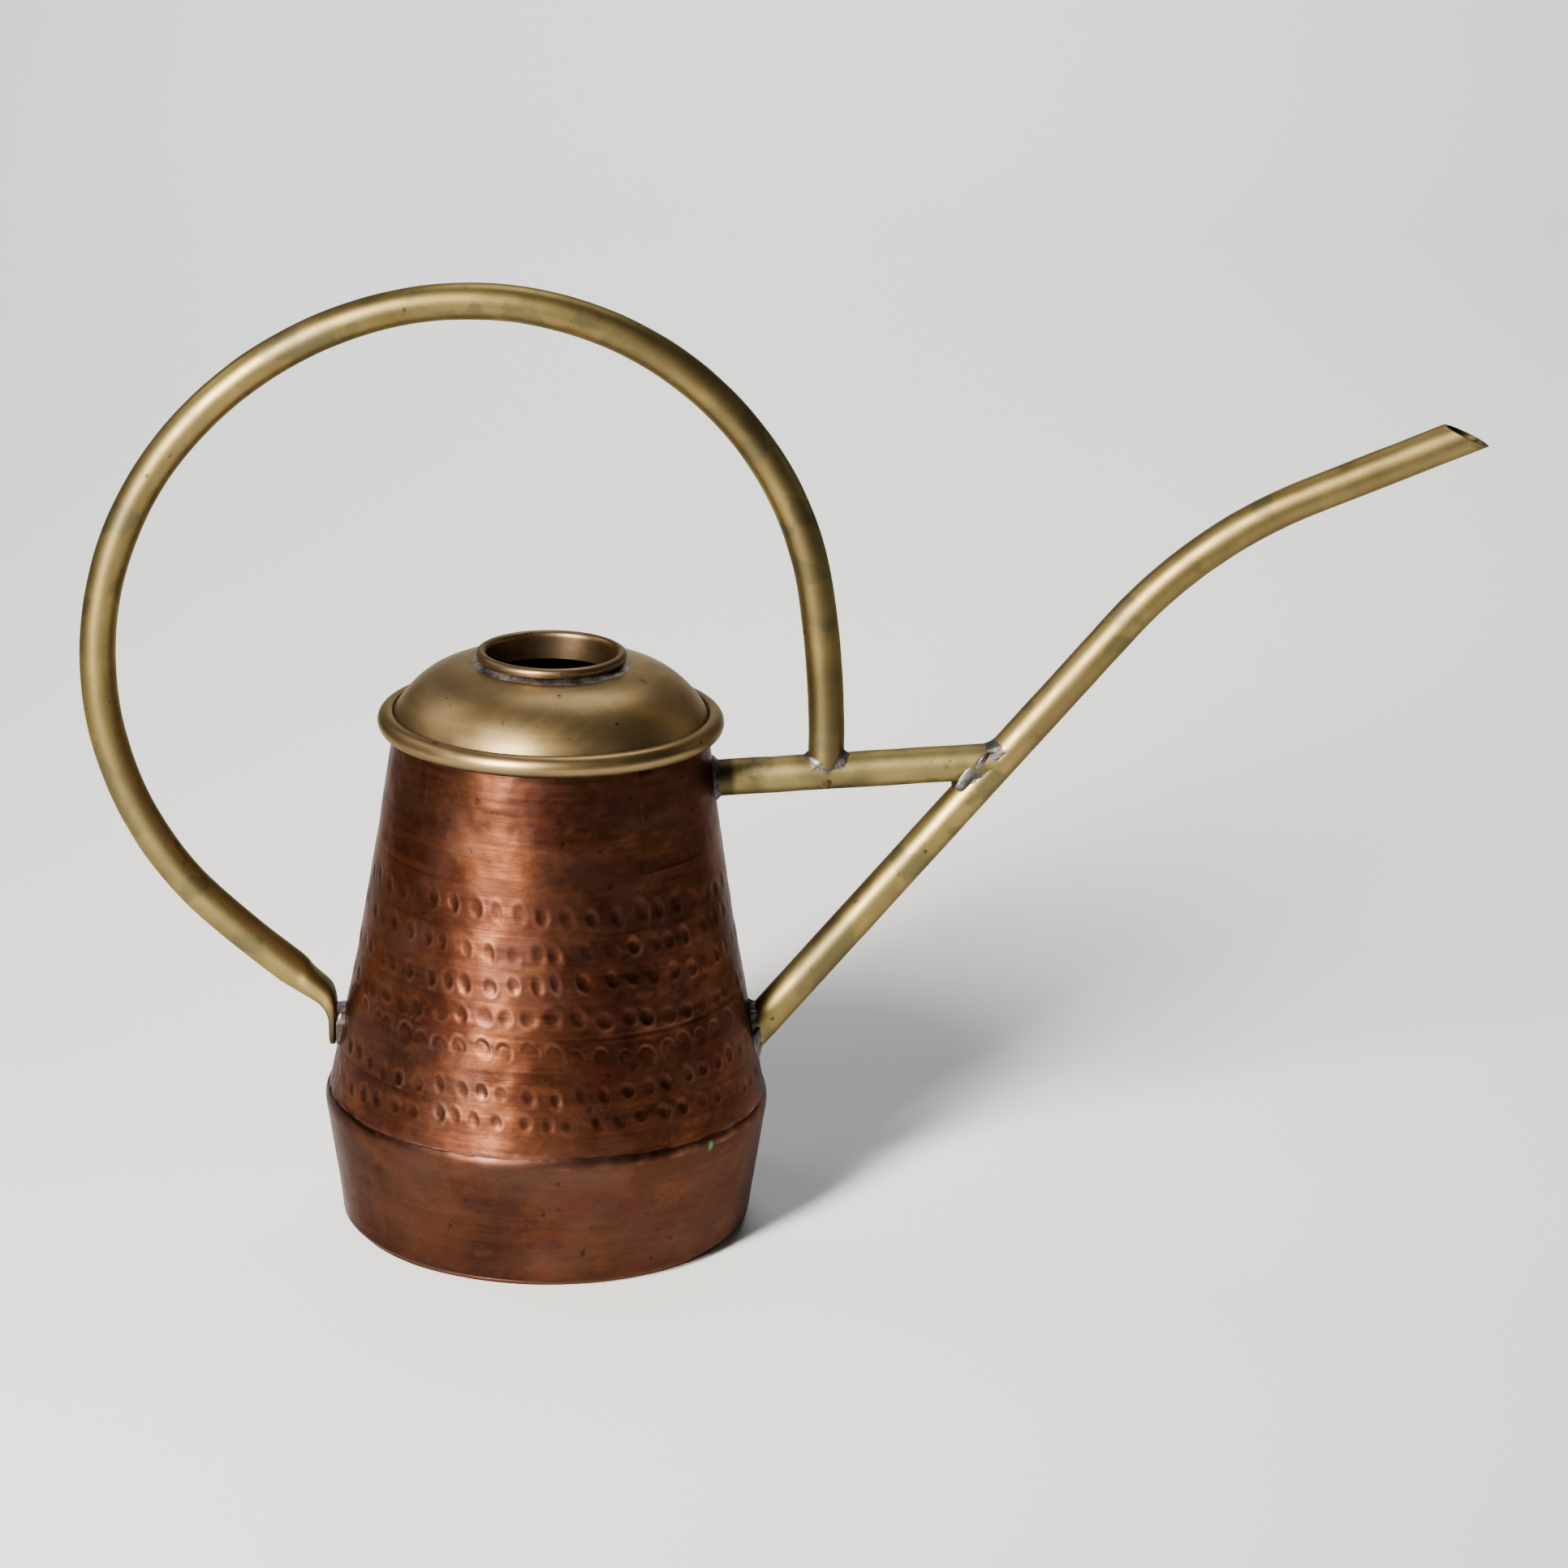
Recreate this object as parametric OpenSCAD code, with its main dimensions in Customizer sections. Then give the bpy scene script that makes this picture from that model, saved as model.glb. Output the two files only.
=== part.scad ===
// Long spout watering can: copper sheet body, spun brass cover, brass tube handle and spout.
// Origin: centre of the foot, on the axis of the body. +Z up, +X towards the spout.
// Every joint is soldered, so nothing moves.

/* [Body] */
// Diameter of the foot ring the can stands on
foot_d = 124.4; // [100:0.2:160]
// Height of the foot ring
foot_h = 1.5; // [1:0.1:4]
// Diameter of the lower drum just above its rounded foot
drum_bottom_d = 129.8; // [104:0.2:166]
// Height of the rounded foot of the lower drum
foot_round_h = 4.6; // [3:0.1:8]
// Largest diameter of the body, at the shoulder
shoulder_d = 141; // [112:0.5:180]
// Height of the shoulder above the foot
shoulder_h = 42; // [30:0.5:60]
// Outer diameter of the upper cone at its top edge
cone_top_d = 98.1; // [80:0.1:125]
// Height of the top edge of the upper cone above the foot
cone_top_h = 162.6; // [130:0.2:200]
// How far the side of the upper cone is drawn in halfway up
waist_in = 1.3; // [0:0.1:4]
// Thickness of the copper sheet
wall_t = 0.7; // [0.5:0.1:2]
// Height of the drum edge that laps over the upper cone
shoulder_lap_h = 2.6; // [1:0.1:6]
// Width of the lapped seam down each sheet
seam_w = 6; // [4:0.5:12]
// Where the drum seam lies, turned from +X
drum_seam_at = 221; // [180:1:360]
// Where the cone seam lies, turned from +X
cone_seam_at = 303; // [180:1:360]

/* [Cover] */
// Radius of the round rolled bead on the edge of the cover
bead_r = 3.4; // [2:0.1:6]
// Thickness of the brass sheet of the cover
cover_t = 0.9; // [0.6:0.1:2]
// How far the middle of the bead lies outside the top edge of the cone
bead_out = 1.65; // [1:0.05:3]
// Height of the cover at its middle above the top edge of the cone
dome_h = 21.1; // [14:0.1:32]
// How boxy the cover is: 2 is shallow and round, 6 is flat with a steep edge
dome_power = 5; // [2:0.1:6]

/* [Filler mouth] */
// Inner diameter of the filler mouth
mouth_d = 40.6; // [30:0.2:56]
// Thickness of the mouth wall
mouth_t = 0.9; // [0.6:0.1:2]
// Radius of the rolled lip round the mouth
lip_r = 1.65; // [1:0.05:3]
// Height of the lip centre above the top of the cover
lip_up = 2.5; // [1.5:0.1:8]
// How far the mouth wall hangs down inside the cover
mouth_drop = 4.6; // [2:0.1:12]
// Gap between the mouth wall and the hole in the cover, filled with solder
mouth_clear = 0.1; // [0.05:0.05:0.4]

/* [Tubes] */
// Outer diameter of the spout tube
tube_d = 11.6; // [8:0.1:16]
// Outer diameter of the brace tube
brace_d = 11.45; // [8:0.05:16]
// Outer diameter of the handle tube
hoop_d = 11.3; // [8:0.1:16]
// Wall thickness of the tubes
tube_t = 1; // [0.6:0.1:2]

/* [Spout] */
// Height on the body axis side where the spout axis meets the cone
spout_root_h = 62.4; // [50:0.2:90]
// How far the spout tube reaches in past the outside of the cone
spout_in = 8; // [6:0.5:16]
// Rise of the straight part of the spout, measured from level
spout_rise = 50.2; // [40:0.2:65]
// Length of the straight part from the cone to the bend
spout_run = 175.5; // [140:0.5:220]
// Bend radius of the spout
spout_bend_r = 149; // [100:1:220]
// Angle the spout is bent over by
spout_bend = 27.3; // [10:0.1:45]
// Length of the straight part after the bend, measured on the axis
spout_tip_run = 51.8; // [30:0.2:80]
// Angle between the slanted cut of the tip and the spout axis
tip_cut = 47; // [30:1:90]
// Gap between the spout and its hole in the cone, filled with solder
spout_clear = 0.1; // [0.05:0.05:0.4]

/* [Brace] */
// Height of the brace axis where it meets the cone
brace_h = 146.1; // [120:0.2:158]
// Rise of the brace towards the spout, measured from level
brace_rise = 4.2; // [0:0.1:12]

/* [Handle] */
// How far the front leg of the hoop stands out from the body axis
hoop_front_x = 86.3; // [76:0.1:104]
// Direction of the front leg where it leaves the brace, measured from level
hoop_lean = 89; // [80:0.1:100]
// Bend radius of the front leg
leg_r = 312; // [250:1:380]
// Angle of the bend of the front leg
leg_bend = 11; // [6:0.1:14]
// Bend radius over the top
top_r = 108.1; // [88:0.1:132]
// Angle of the bend over the top
top_bend = 95.6; // [80:0.1:100]
// Bend radius behind the top
back_r = 121.6; // [100:0.1:146]
// Angle of the bend behind the top
back_bend = 37.8; // [30:0.1:45]
// Bend radius of the lower back of the hoop
low_r = 109.9; // [90:0.1:132]
// Angle of the bend of the lower back of the hoop
low_bend = 84.1; // [70:0.1:90]
// Length of the nearly straight tail before the tube is pressed flat
tail_run = 30.5; // [20:0.5:40]
// Bend angle of the tail
tail_bend = 4.7; // [2:0.1:8]
// Thickness of the tail where it is pressed flat
tab_t = 2.5; // [1.6:0.1:4]
// Width of the flat tab
tab_w = 16; // [12:0.5:20]
// Height of the lower end of the tab above the foot
tab_low_h = 57; // [48:0.5:70]
// Gap between the tab and the cone at the lower end of the tab
tab_gap = 0.2; // [0.1:0.05:1]

/* [Solder] */
// How far the solder stands out along the surfaces it joins
fillet_w = 2.2; // [1:0.1:4]
// How high the solder stands off a surface
fillet_h = 1.1; // [0.6:0.1:2]

/* [Hidden] */
$fn = 180;
foot_r = foot_d / 2;
drum_r0 = drum_bottom_d / 2;
shoulder_r = shoulder_d / 2;
cone_r0 = shoulder_r - wall_t;
cone_r1 = cone_top_d / 2;
cone_run = cone_top_h - shoulder_h;
tube_r = tube_d / 2;
brace_rad = brace_d / 2;
hoop_rad = hoop_d / 2;
// Every second piece of a bent tube is this much thinner in the wall on each side and reaches into
// its neighbours, so that the pieces make one tube
key_t = 0.02;
key_run = 0.4;
// Outside radius of the upper cone at a height
function cone_r(z) = cone_r0 + (cone_r1 - cone_r0) * (z - shoulder_h) / cone_run
  - 4 * waist_in * (z - shoulder_h) / cone_run * (cone_top_h - z) / cone_run;
// Outside of the upper cone from its lower edge to its top edge
steps = 8;
function cone_z(i) = shoulder_h + cone_run * i / steps;
function cone_side(d) = [for (i = [0:steps]) [cone_r(cone_z(i)) + d, cone_z(i)]];
// Rounded foot and wall of the lower drum
drum_in_foot = foot_r - wall_t - 0.05;
function drum_side(d) = [
  [drum_in_foot + d, wall_t],
  [drum_in_foot + d, foot_h],
  [drum_in_foot + (drum_r0 - drum_in_foot) * 0.62 + d, foot_h + (foot_round_h - foot_h) * 0.3],
  [drum_r0 + d, foot_round_h],
  [shoulder_r + d, shoulder_h]
];
// Radius of the cone at the first step above the shoulder, for the lap of the drum edge
lap_z = shoulder_h + shoulder_lap_h;
lap_r = cone_r0 + (cone_r(cone_z(1)) - cone_r0) * shoulder_lap_h / (cone_run / steps);
// Cover
bead_c = cone_r1 + bead_out;
bead_z = cone_top_h + sqrt(bead_r * bead_r - (bead_out + wall_t) * (bead_out + wall_t)) - 0.12;
dome_foot_r = bead_c - 1.5;
dome_z = bead_z + 2.6;
dome_top_z = cone_top_h + dome_h;
neck_out_r = mouth_d / 2 + mouth_t;
hole_r = neck_out_r + mouth_clear;
dome_steps = 10;
function dome_rr(i) = dome_foot_r - (dome_foot_r - hole_r) * (1 - pow(1 - i / dome_steps, 1.6));
function dome_zz(r) = dome_z + (dome_top_z - dome_z) * (1 - pow(r / dome_foot_r, dome_power));
function dome_side(d, lift) = [for (i = [0:dome_steps]) [dome_rr(i) + d, dome_zz(dome_rr(i)) + lift]];
lip_z = dome_zz(hole_r) + lip_up;
lip_c = mouth_d / 2 + lip_r;
// Point where the spout axis meets the cone
spout_root_x = cone_r(spout_root_h);
brace_x = cone_r(brace_h);
// Height of the brace axis under the front leg of the hoop
hoop_front_z = brace_h + (hoop_front_x - brace_x) * tan(brace_rise);
// Length of the brace axis from the cone to the spout axis
brace_run = ((spout_root_x - brace_x) * sin(spout_rise) + (brace_h - spout_root_h) * cos(spout_rise))
  / sin(spout_rise - brace_rise);
hoop_path = [[leg_r, leg_bend], [top_r, top_bend], [back_r, back_bend], [low_r, low_bend],
  [tail_run / tail_bend * 180 / PI, tail_bend]];
spout_path = [[0, spout_in + spout_run], [spout_bend_r, spout_bend], [0, spout_tip_run + tube_r * 1.5]];
// Ends of the hoop and the spout, worked out by walking along each path
function walk_x(p, i) = i < 0 ? 0 : walk_x(p, i - 1) + (p[i][0] == 0 ? p[i][1] * sin(turned(p, i)) :
  p[i][0] * (cos(turned(p, i)) - cos(turned(p, i) + p[i][1])));
function walk_z(p, i) = i < 0 ? 0 : walk_z(p, i - 1) + (p[i][0] == 0 ? p[i][1] * cos(turned(p, i)) :
  p[i][0] * (sin(turned(p, i) + p[i][1]) - sin(turned(p, i))));
function turned(p, i) = i <= 0 ? 0 : turned(p, i - 1) + (p[i - 1][0] == 0 ? 0 : p[i - 1][1]);
hoop_lx = walk_x(hoop_path, 4);
hoop_lz = walk_z(hoop_path, 4);
hoop_turn = turned(hoop_path, 5);
tail_x = hoop_front_x - (hoop_lx * sin(hoop_lean) - hoop_lz * cos(hoop_lean));
tail_z = hoop_front_z + hoop_lz * sin(hoop_lean) + hoop_lx * cos(hoop_lean);
tail_dir = hoop_lean + hoop_turn;
// The flat tab stands upright, just clear of the cone at its lower end
tab_x = -(cone_r(tab_low_h) + tab_gap + tab_t / 2);
tab_top_z = tab_low_h + 10.5;

// Solid of a side profile, closed to the axis
module filled(side, z0, z1) {
  rotate_extrude()
    polygon(concat([[0, z0]], side, [[0, z1]]));
}

// Space outside which nothing of the upper cone reaches, grown by d
module cone_solid(d) {
  filled(cone_side(d), shoulder_h, cone_top_h);
}

// Tube that starts at the origin heading +Z and bends towards +X along a path
module follow(path, r, i = 0) {
  odd = i % 2;
  if (i < len(path)) {
    if (path[i][0] == 0) {
      translate([0, 0, -odd * key_run])
        rod(path[i][1] + 2 * odd * key_run, r - odd * key_t, r - tube_t + odd * key_t);
      translate([0, 0, path[i][1]])
        follow(path, r, i + 1);
    } else {
      reach = odd * key_run / path[i][0] * 180 / PI;
      translate([path[i][0], 0, 0])
        rotate([0, 0, 180])
          rotate([90, 0, 0])
            rotate([0, 0, -reach])
              rotate_extrude(angle = path[i][1] + 2 * reach)
                translate([path[i][0], 0])
                  ring(r - odd * key_t, r - tube_t + odd * key_t);
      translate([path[i][0] * (1 - cos(path[i][1])), 0, path[i][0] * sin(path[i][1])])
        rotate([0, path[i][1], 0])
          follow(path, r, i + 1);
    }
  }
}

module ring(r, bore) {
  difference() {
    circle(r = r);
    circle(r = bore);
  }
}

module rod(high, r, bore) {
  linear_extrude(height = high)
    ring(r, bore);
}

module at_spout_root() {
  translate([spout_root_x, 0, spout_root_h])
    rotate([0, 90 - spout_rise, 0])
      children();
}

module at_brace_root() {
  translate([brace_x, 0, brace_h])
    rotate([0, 90 - brace_rise, 0])
      children();
}

module at_hoop_front() {
  translate([hoop_front_x, 0, hoop_front_z])
    rotate([0, 90 - hoop_lean, 0])
      rotate([0, 0, 180])
        children();
}

// Straight part of the spout only, grown by d
module spout_rod(r, low, high) {
  at_spout_root()
    translate([0, 0, low])
      cylinder(h = high - low, r = r);
}

module brace_rod(r, low, high) {
  at_brace_root()
    translate([0, 0, low])
      cylinder(h = high - low, r = r);
}

module upper_cone() {
  color([0.52, 0.27, 0.20])
    difference() {
      union() {
        difference() {
          cone_solid(0);
          filled(concat([[cone_r0 - wall_t, shoulder_h - 1]], cone_side(-wall_t),
            [[cone_r1 - wall_t, cone_top_h + 1]]), shoulder_h - 1, cone_top_h + 1);
        }
        // Inner leaf of the lapped seam
        rotate([0, 0, cone_seam_at])
          rotate_extrude(angle = seam_w / cone_r0 * 180 / PI)
            polygon(concat(cone_side(-wall_t * 0.5), [for (i = [steps:-1:0]) cone_side(-wall_t * 2)[i]]));
      }
      spout_rod(tube_r + spout_clear, -30, 30);
    }
}

module lower_drum() {
  color([0.50, 0.26, 0.20])
    union() {
      rotate_extrude()
        polygon(concat(drum_side(0), [[lap_r + wall_t, lap_z], [lap_r, lap_z], [cone_r0, shoulder_h]],
          [for (i = [3:-1:0]) drum_side(-wall_t)[i]]));
      // Inner leaf of the lapped seam
      rotate([0, 0, drum_seam_at])
        rotate_extrude(angle = seam_w / drum_r0 * 180 / PI)
          polygon([[drum_r0 - wall_t * 0.5, foot_round_h], [shoulder_r - wall_t * 1.5, shoulder_h - 4],
            [shoulder_r - wall_t * 2.5, shoulder_h - 4], [drum_r0 - wall_t * 2, foot_round_h]]);
    }
}

module base_plate() {
  color([0.46, 0.24, 0.19])
    rotate_extrude()
      polygon([[0, 0], [foot_r - 0.4, 0], [foot_r, 0.4], [foot_r, foot_h],
        [foot_r - wall_t, foot_h], [foot_r - wall_t, wall_t], [0, wall_t]]);
}

module dome_cover() {
  color([0.62, 0.53, 0.32])
    difference() {
      union() {
        // Spun cover, open in the middle for the mouth
        rotate_extrude()
          polygon(concat([[dome_foot_r, bead_z]], dome_side(0, 0),
            [for (i = [dome_steps:-1:1]) [max(dome_side(-cover_t * 0.8, -cover_t * 0.8)[i][0], hole_r),
              dome_side(0, -cover_t)[i][1]]],
            [[dome_foot_r - cover_t, dome_z - cover_t], [dome_foot_r - cover_t, bead_z]]));
        rotate_extrude()
          translate([bead_c, bead_z])
            circle(r = bead_r);
      }
      // Hollow of the rolled bead, open towards the inside of the can
      rotate_extrude()
        translate([bead_c, bead_z])
          circle(r = bead_r - cover_t);
      rotate_extrude()
        translate([bead_c - bead_r - 2, bead_z - 0.4])
          square([bead_r, 0.8]);
      cone_solid(0);
    }
}

module neck_ring() {
  color([0.60, 0.50, 0.31])
    rotate_extrude()
      union() {
        translate([mouth_d / 2, lip_z - lip_up - mouth_drop])
          square([mouth_t, lip_up + mouth_drop]);
        translate([lip_c, lip_z])
          circle(r = lip_r);
      }
}

module hoop_tube() {
  at_hoop_front()
    follow(hoop_path, hoop_rad);
}

// One slice of the pressed end: centre, heading, thickness and width
module slice(x, z, dir, thick, wide) {
  translate([x, 0, z])
    rotate([0, 90 - dir, 0])
      linear_extrude(height = 0.02)
        scale([thick / 10, wide / 10])
          circle(d = 10, $fn = 40);
}

module pressed_end() {
  hull() {
    slice(tail_x - 0.5 * cos(tail_dir), tail_z - 0.5 * sin(tail_dir), tail_dir, hoop_d - 0.2, hoop_d - 0.2);
    slice(tail_x + 4.6 * cos(tail_dir), tail_z + 4.6 * sin(tail_dir), tail_dir, hoop_d * 0.84, hoop_d * 1.08);
  }
  hull() {
    slice(tail_x + 4.6 * cos(tail_dir), tail_z + 4.6 * sin(tail_dir), tail_dir, hoop_d * 0.84, hoop_d * 1.08);
    slice(tab_x - 2.6, tab_top_z + 6.2, tail_dir - 8, hoop_d * 0.54, hoop_d * 1.22);
  }
  hull() {
    slice(tab_x - 2.6, tab_top_z + 6.2, tail_dir - 8, hoop_d * 0.54, hoop_d * 1.22);
    slice(tab_x - 0.75, tab_top_z + 3.2, tail_dir - 28, hoop_d * 0.36, hoop_d * 1.32);
  }
  hull() {
    slice(tab_x - 0.75, tab_top_z + 3.2, tail_dir - 28, hoop_d * 0.36, hoop_d * 1.32);
    slice(tab_x, tab_top_z, 270, tab_t, tab_w);
  }
  hull() {
    slice(tab_x, tab_top_z, 270, tab_t, tab_w);
    translate([tab_x - tab_t / 2, 0, tab_low_h + tab_w / 2])
      rotate([0, 90, 0])
        cylinder(h = tab_t, d = tab_w, $fn = 40);
  }
}

module hoop_handle() {
  color([0.64, 0.55, 0.32])
    difference() {
      union() {
        hoop_tube();
        pressed_end();
      }
      brace_rod(brace_rad, -5, 140);
    }
}

module brace_tube() {
  color([0.62, 0.54, 0.31])
    difference() {
      at_brace_root()
        translate([0, 0, -12])
          rod(12 + brace_run, brace_rad, brace_rad - tube_t);
      cone_solid(0);
      spout_rod(tube_r, -40, 200);
    }
}

// Everything beyond the slanted cut at the tip
module beyond_tip() {
  at_spout_root()
    translate([walk_x(spout_path, 1), 0, walk_z(spout_path, 1) - spout_in])
      rotate([0, spout_bend, 0])
        translate([0, 0, spout_tip_run])
          rotate([0, tip_cut - 90, 0])
            translate([-40, -40, 0])
              cube([80, 80, 60]);
}

module spout_tube() {
  color([0.64, 0.55, 0.32])
    difference() {
      at_spout_root()
        translate([0, 0, -spout_in])
          follow(spout_path, tube_r);
      beyond_tip();
    }
}

module solder_neck_ring() {
  color([0.55, 0.55, 0.56])
    difference() {
      rotate_extrude()
        polygon([[neck_out_r, dome_zz(hole_r) - cover_t], [hole_r, dome_zz(hole_r) - cover_t],
          [hole_r, dome_zz(hole_r) - 0.6], [hole_r + fillet_w * 2, dome_zz(hole_r + fillet_w * 2) - 0.6],
          [hole_r + fillet_w * 2, dome_zz(hole_r + fillet_w * 2) + 0.15],
          [neck_out_r + 1.6, dome_zz(hole_r) + 0.75], [neck_out_r, dome_zz(hole_r) + 1]]);
      dome_cover();
    }
}

module solder_cover_rim() {
  color([0.50, 0.50, 0.50])
    difference() {
      rotate_extrude()
        polygon([[cone_r1 - wall_t * 0.5, cone_top_h], [cone_r(cone_top_h - 2.4) - wall_t * 0.5, cone_top_h - 2.4],
          [cone_r(cone_top_h - 2.4) + 0.25, cone_top_h - 2.4], [bead_c + 0.3, cone_top_h - 0.9],
          [bead_c + 0.3, cone_top_h]]);
      cone_solid(0);
      rotate_extrude()
        translate([bead_c, bead_z])
          circle(r = bead_r);
    }
}

module solder_brace_cone() {
  color([0.45, 0.45, 0.45])
    difference() {
      union() {
        intersection() {
          cone_solid(fillet_h);
          brace_rod(brace_rad + fillet_w * 0.8, -3, 20);
        }
        intersection() {
          cone_solid(fillet_h * 2.2);
          brace_rod(brace_rad + fillet_h * 0.6, -3, 20);
        }
      }
      cone_solid(0);
      brace_rod(brace_rad, -12, 110);
      solder_cover_rim();
      rotate_extrude()
        translate([bead_c, bead_z])
          circle(r = bead_r);
    }
}

module solder_spout_root() {
  color([0.48, 0.48, 0.48])
    difference() {
      union() {
        intersection() {
          cone_solid(fillet_h);
          spout_rod(tube_r + fillet_w, -12, 30);
        }
        intersection() {
          cone_solid(fillet_h * 2);
          spout_rod(tube_r + fillet_h, -12, 30);
        }
      }
      cone_solid(0);
      spout_rod(tube_r, -30, 60);
    }
}

module solder_brace_spout() {
  color([0.58, 0.56, 0.56])
    difference() {
      intersection() {
        spout_rod(tube_r + fillet_h * 1.6, 60, 170);
        brace_rod(brace_rad + fillet_h, 60, brace_run);
      }
      spout_rod(tube_r, -40, 200);
      brace_rod(brace_rad, -12, 110);
    }
}

module solder_handle_brace() {
  color([0.62, 0.62, 0.62])
    difference() {
      intersection() {
        brace_rod(brace_rad + fillet_h, 10, 60);
        at_hoop_front()
          cylinder(h = 12, r = hoop_rad + fillet_h * 1.5);
      }
      brace_rod(brace_rad, -12, 110);
      at_hoop_front()
        cylinder(h = 14, r = hoop_rad);
    }
}

module solder_handle_tab() {
  color([0.66, 0.66, 0.66])
    difference() {
      translate([tab_x + tab_t / 2, 0, tab_low_h + tab_w / 2 - 0.4])
        rotate([0, 90, 0])
          cylinder(h = 8, d = tab_w - 2.4);
      cone_solid(0);
    }
}

module solder_shoulder() {
  color([0.50, 0.50, 0.50])
    rotate_extrude()
      polygon([[cone_r0, shoulder_h], [cone_r0 - wall_t, shoulder_h],
        [cone_r0 - wall_t - 0.2, shoulder_h - 1.2],
        [drum_r0 - wall_t + (shoulder_r - drum_r0) * (shoulder_h - 2.4 - foot_round_h)
          / (shoulder_h - foot_round_h), shoulder_h - 2.4]]);
}

module solder_base_seam() {
  color([0.50, 0.50, 0.50])
    rotate_extrude()
      polygon([[drum_in_foot - wall_t, wall_t], [drum_in_foot - wall_t, foot_h],
        [drum_in_foot - wall_t - 2.2, wall_t]]);
}

// Solder along the free edge of the inner leaf of each seam
module solder_cone_seam() {
  color([0.50, 0.50, 0.50])
    rotate([0, 0, cone_seam_at + seam_w / cone_r0 * 180 / PI])
      rotate_extrude(angle = 1)
        polygon(concat(cone_side(-wall_t), [for (i = [steps:-1:0]) cone_side(-wall_t * 1.8)[i]]));
}

module solder_drum_seam() {
  color([0.50, 0.50, 0.50])
    rotate([0, 0, drum_seam_at + seam_w / drum_r0 * 180 / PI])
      rotate_extrude(angle = 1)
        polygon([[drum_r0 - wall_t, foot_round_h],
          [drum_r0 - wall_t + (shoulder_r - drum_r0) * (shoulder_h - 4 - foot_round_h)
            / (shoulder_h - foot_round_h), shoulder_h - 4],
          [shoulder_r - wall_t * 2.2, shoulder_h - 4], [drum_r0 - wall_t * 1.8, foot_round_h]]);
}

upper_cone();
lower_drum();
base_plate();
dome_cover();
neck_ring();
hoop_handle();
brace_tube();
spout_tube();
solder_neck_ring();
solder_cover_rim();
solder_brace_cone();
solder_brace_spout();
solder_handle_brace();
solder_handle_tab();
solder_spout_root();
solder_shoulder();
solder_base_seam();
solder_cone_seam();
solder_drum_seam();
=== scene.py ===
import math

import bpy
import numpy as np
from mathutils import Matrix, Vector


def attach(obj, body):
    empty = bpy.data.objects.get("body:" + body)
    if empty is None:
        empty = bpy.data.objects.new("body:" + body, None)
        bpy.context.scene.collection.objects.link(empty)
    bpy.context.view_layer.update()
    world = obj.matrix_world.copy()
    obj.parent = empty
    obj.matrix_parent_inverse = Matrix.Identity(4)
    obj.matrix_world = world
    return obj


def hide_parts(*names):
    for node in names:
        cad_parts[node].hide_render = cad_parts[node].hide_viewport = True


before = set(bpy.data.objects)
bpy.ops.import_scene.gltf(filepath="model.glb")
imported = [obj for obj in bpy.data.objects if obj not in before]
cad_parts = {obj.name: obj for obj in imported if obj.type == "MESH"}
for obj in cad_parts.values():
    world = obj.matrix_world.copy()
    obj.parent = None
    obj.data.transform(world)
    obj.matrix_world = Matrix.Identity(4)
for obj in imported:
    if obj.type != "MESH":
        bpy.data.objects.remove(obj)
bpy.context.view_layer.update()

# All sizes are in millimetres and follow part.scad; meshes are written in metres.
MM = 0.001
RNG = np.random.default_rng(7)

# Body
FOOT_R, FOOT_H = 62.2, 1.5
DRUM_R, FOOT_ROUND_H = 64.9, 4.6
SHOULDER_R, SHOULDER_H = 70.5, 42.0
CONE_R0, CONE_R1, CONE_TOP = 69.8, 49.05, 162.6
WAIST, WALL, LAP_H = 1.3, 0.7, 2.6
DRUM_SEAM, CONE_SEAM = math.radians(221), math.radians(303)
# Cover and mouth
BEAD_R, BEAD_C, BEAD_Z = 3.4, 50.7, 164.93
DOME_FOOT_R, DOME_Z, DOME_TOP, DOME_POWER, COVER_T = 49.2, 167.5, 183.7, 5.0, 0.9
MOUTH_R, MOUTH_T, LIP_R, LIP_C, LIP_Z, MOUTH_LOW = 20.3, 0.9, 1.65, 21.95, 185.95, 178.8
# Tubes
SPOUT_R, BRACE_R, HOOP_R, TUBE_T = 5.8, 5.725, 5.65, 1.0
SPOUT_ROOT_H, SPOUT_RISE, SPOUT_IN, SPOUT_RUN = 62.4, math.radians(50.2), 8.0, 175.5
SPOUT_BEND_R, SPOUT_BEND, SPOUT_TIP_RUN, TIP_CUT = 149.0, math.radians(27.3), 51.8, math.radians(47)
BRACE_H, BRACE_RISE = 146.1, math.radians(4.2)
HOOP_X, HOOP_LEAN = 86.3, math.radians(89)
HOOP_BENDS = [(312.0, 11.0), (108.1, 95.6), (121.6, 37.8), (109.9, 84.1), (371.8, 4.7)]
TAB_T, TAB_W, TAB_LOW, TAB_GAP = 2.5, 16.0, 57.0, 0.2
BRACE_END = np.array([132.0, 0.0, 152.0])
# Points round a tube, round its run of solder, and round the body's runs of solder
TUBE_POINTS, TUBE_RUN, BODY_RUN = 72, 160, 420
# Punch marks and turned lines on the cone
MARK_PITCH, COLLAR_Z, FINE_LINES_Z, FINE_LINES = 7.4, 129.5, 112.8, 7
# Camera: place in metres, then heading, dip and roll in radians, and lens in millimetres
CAMERA_AT = (-0.00937, -1.578, 0.64177)
CAMERA_HEADING, CAMERA_DIP, CAMERA_ROLL, CAMERA_LENS = math.radians(3.0), 0.305, 0.024, 121.1


# ---------------------------------------------------------------- small maths

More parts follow.
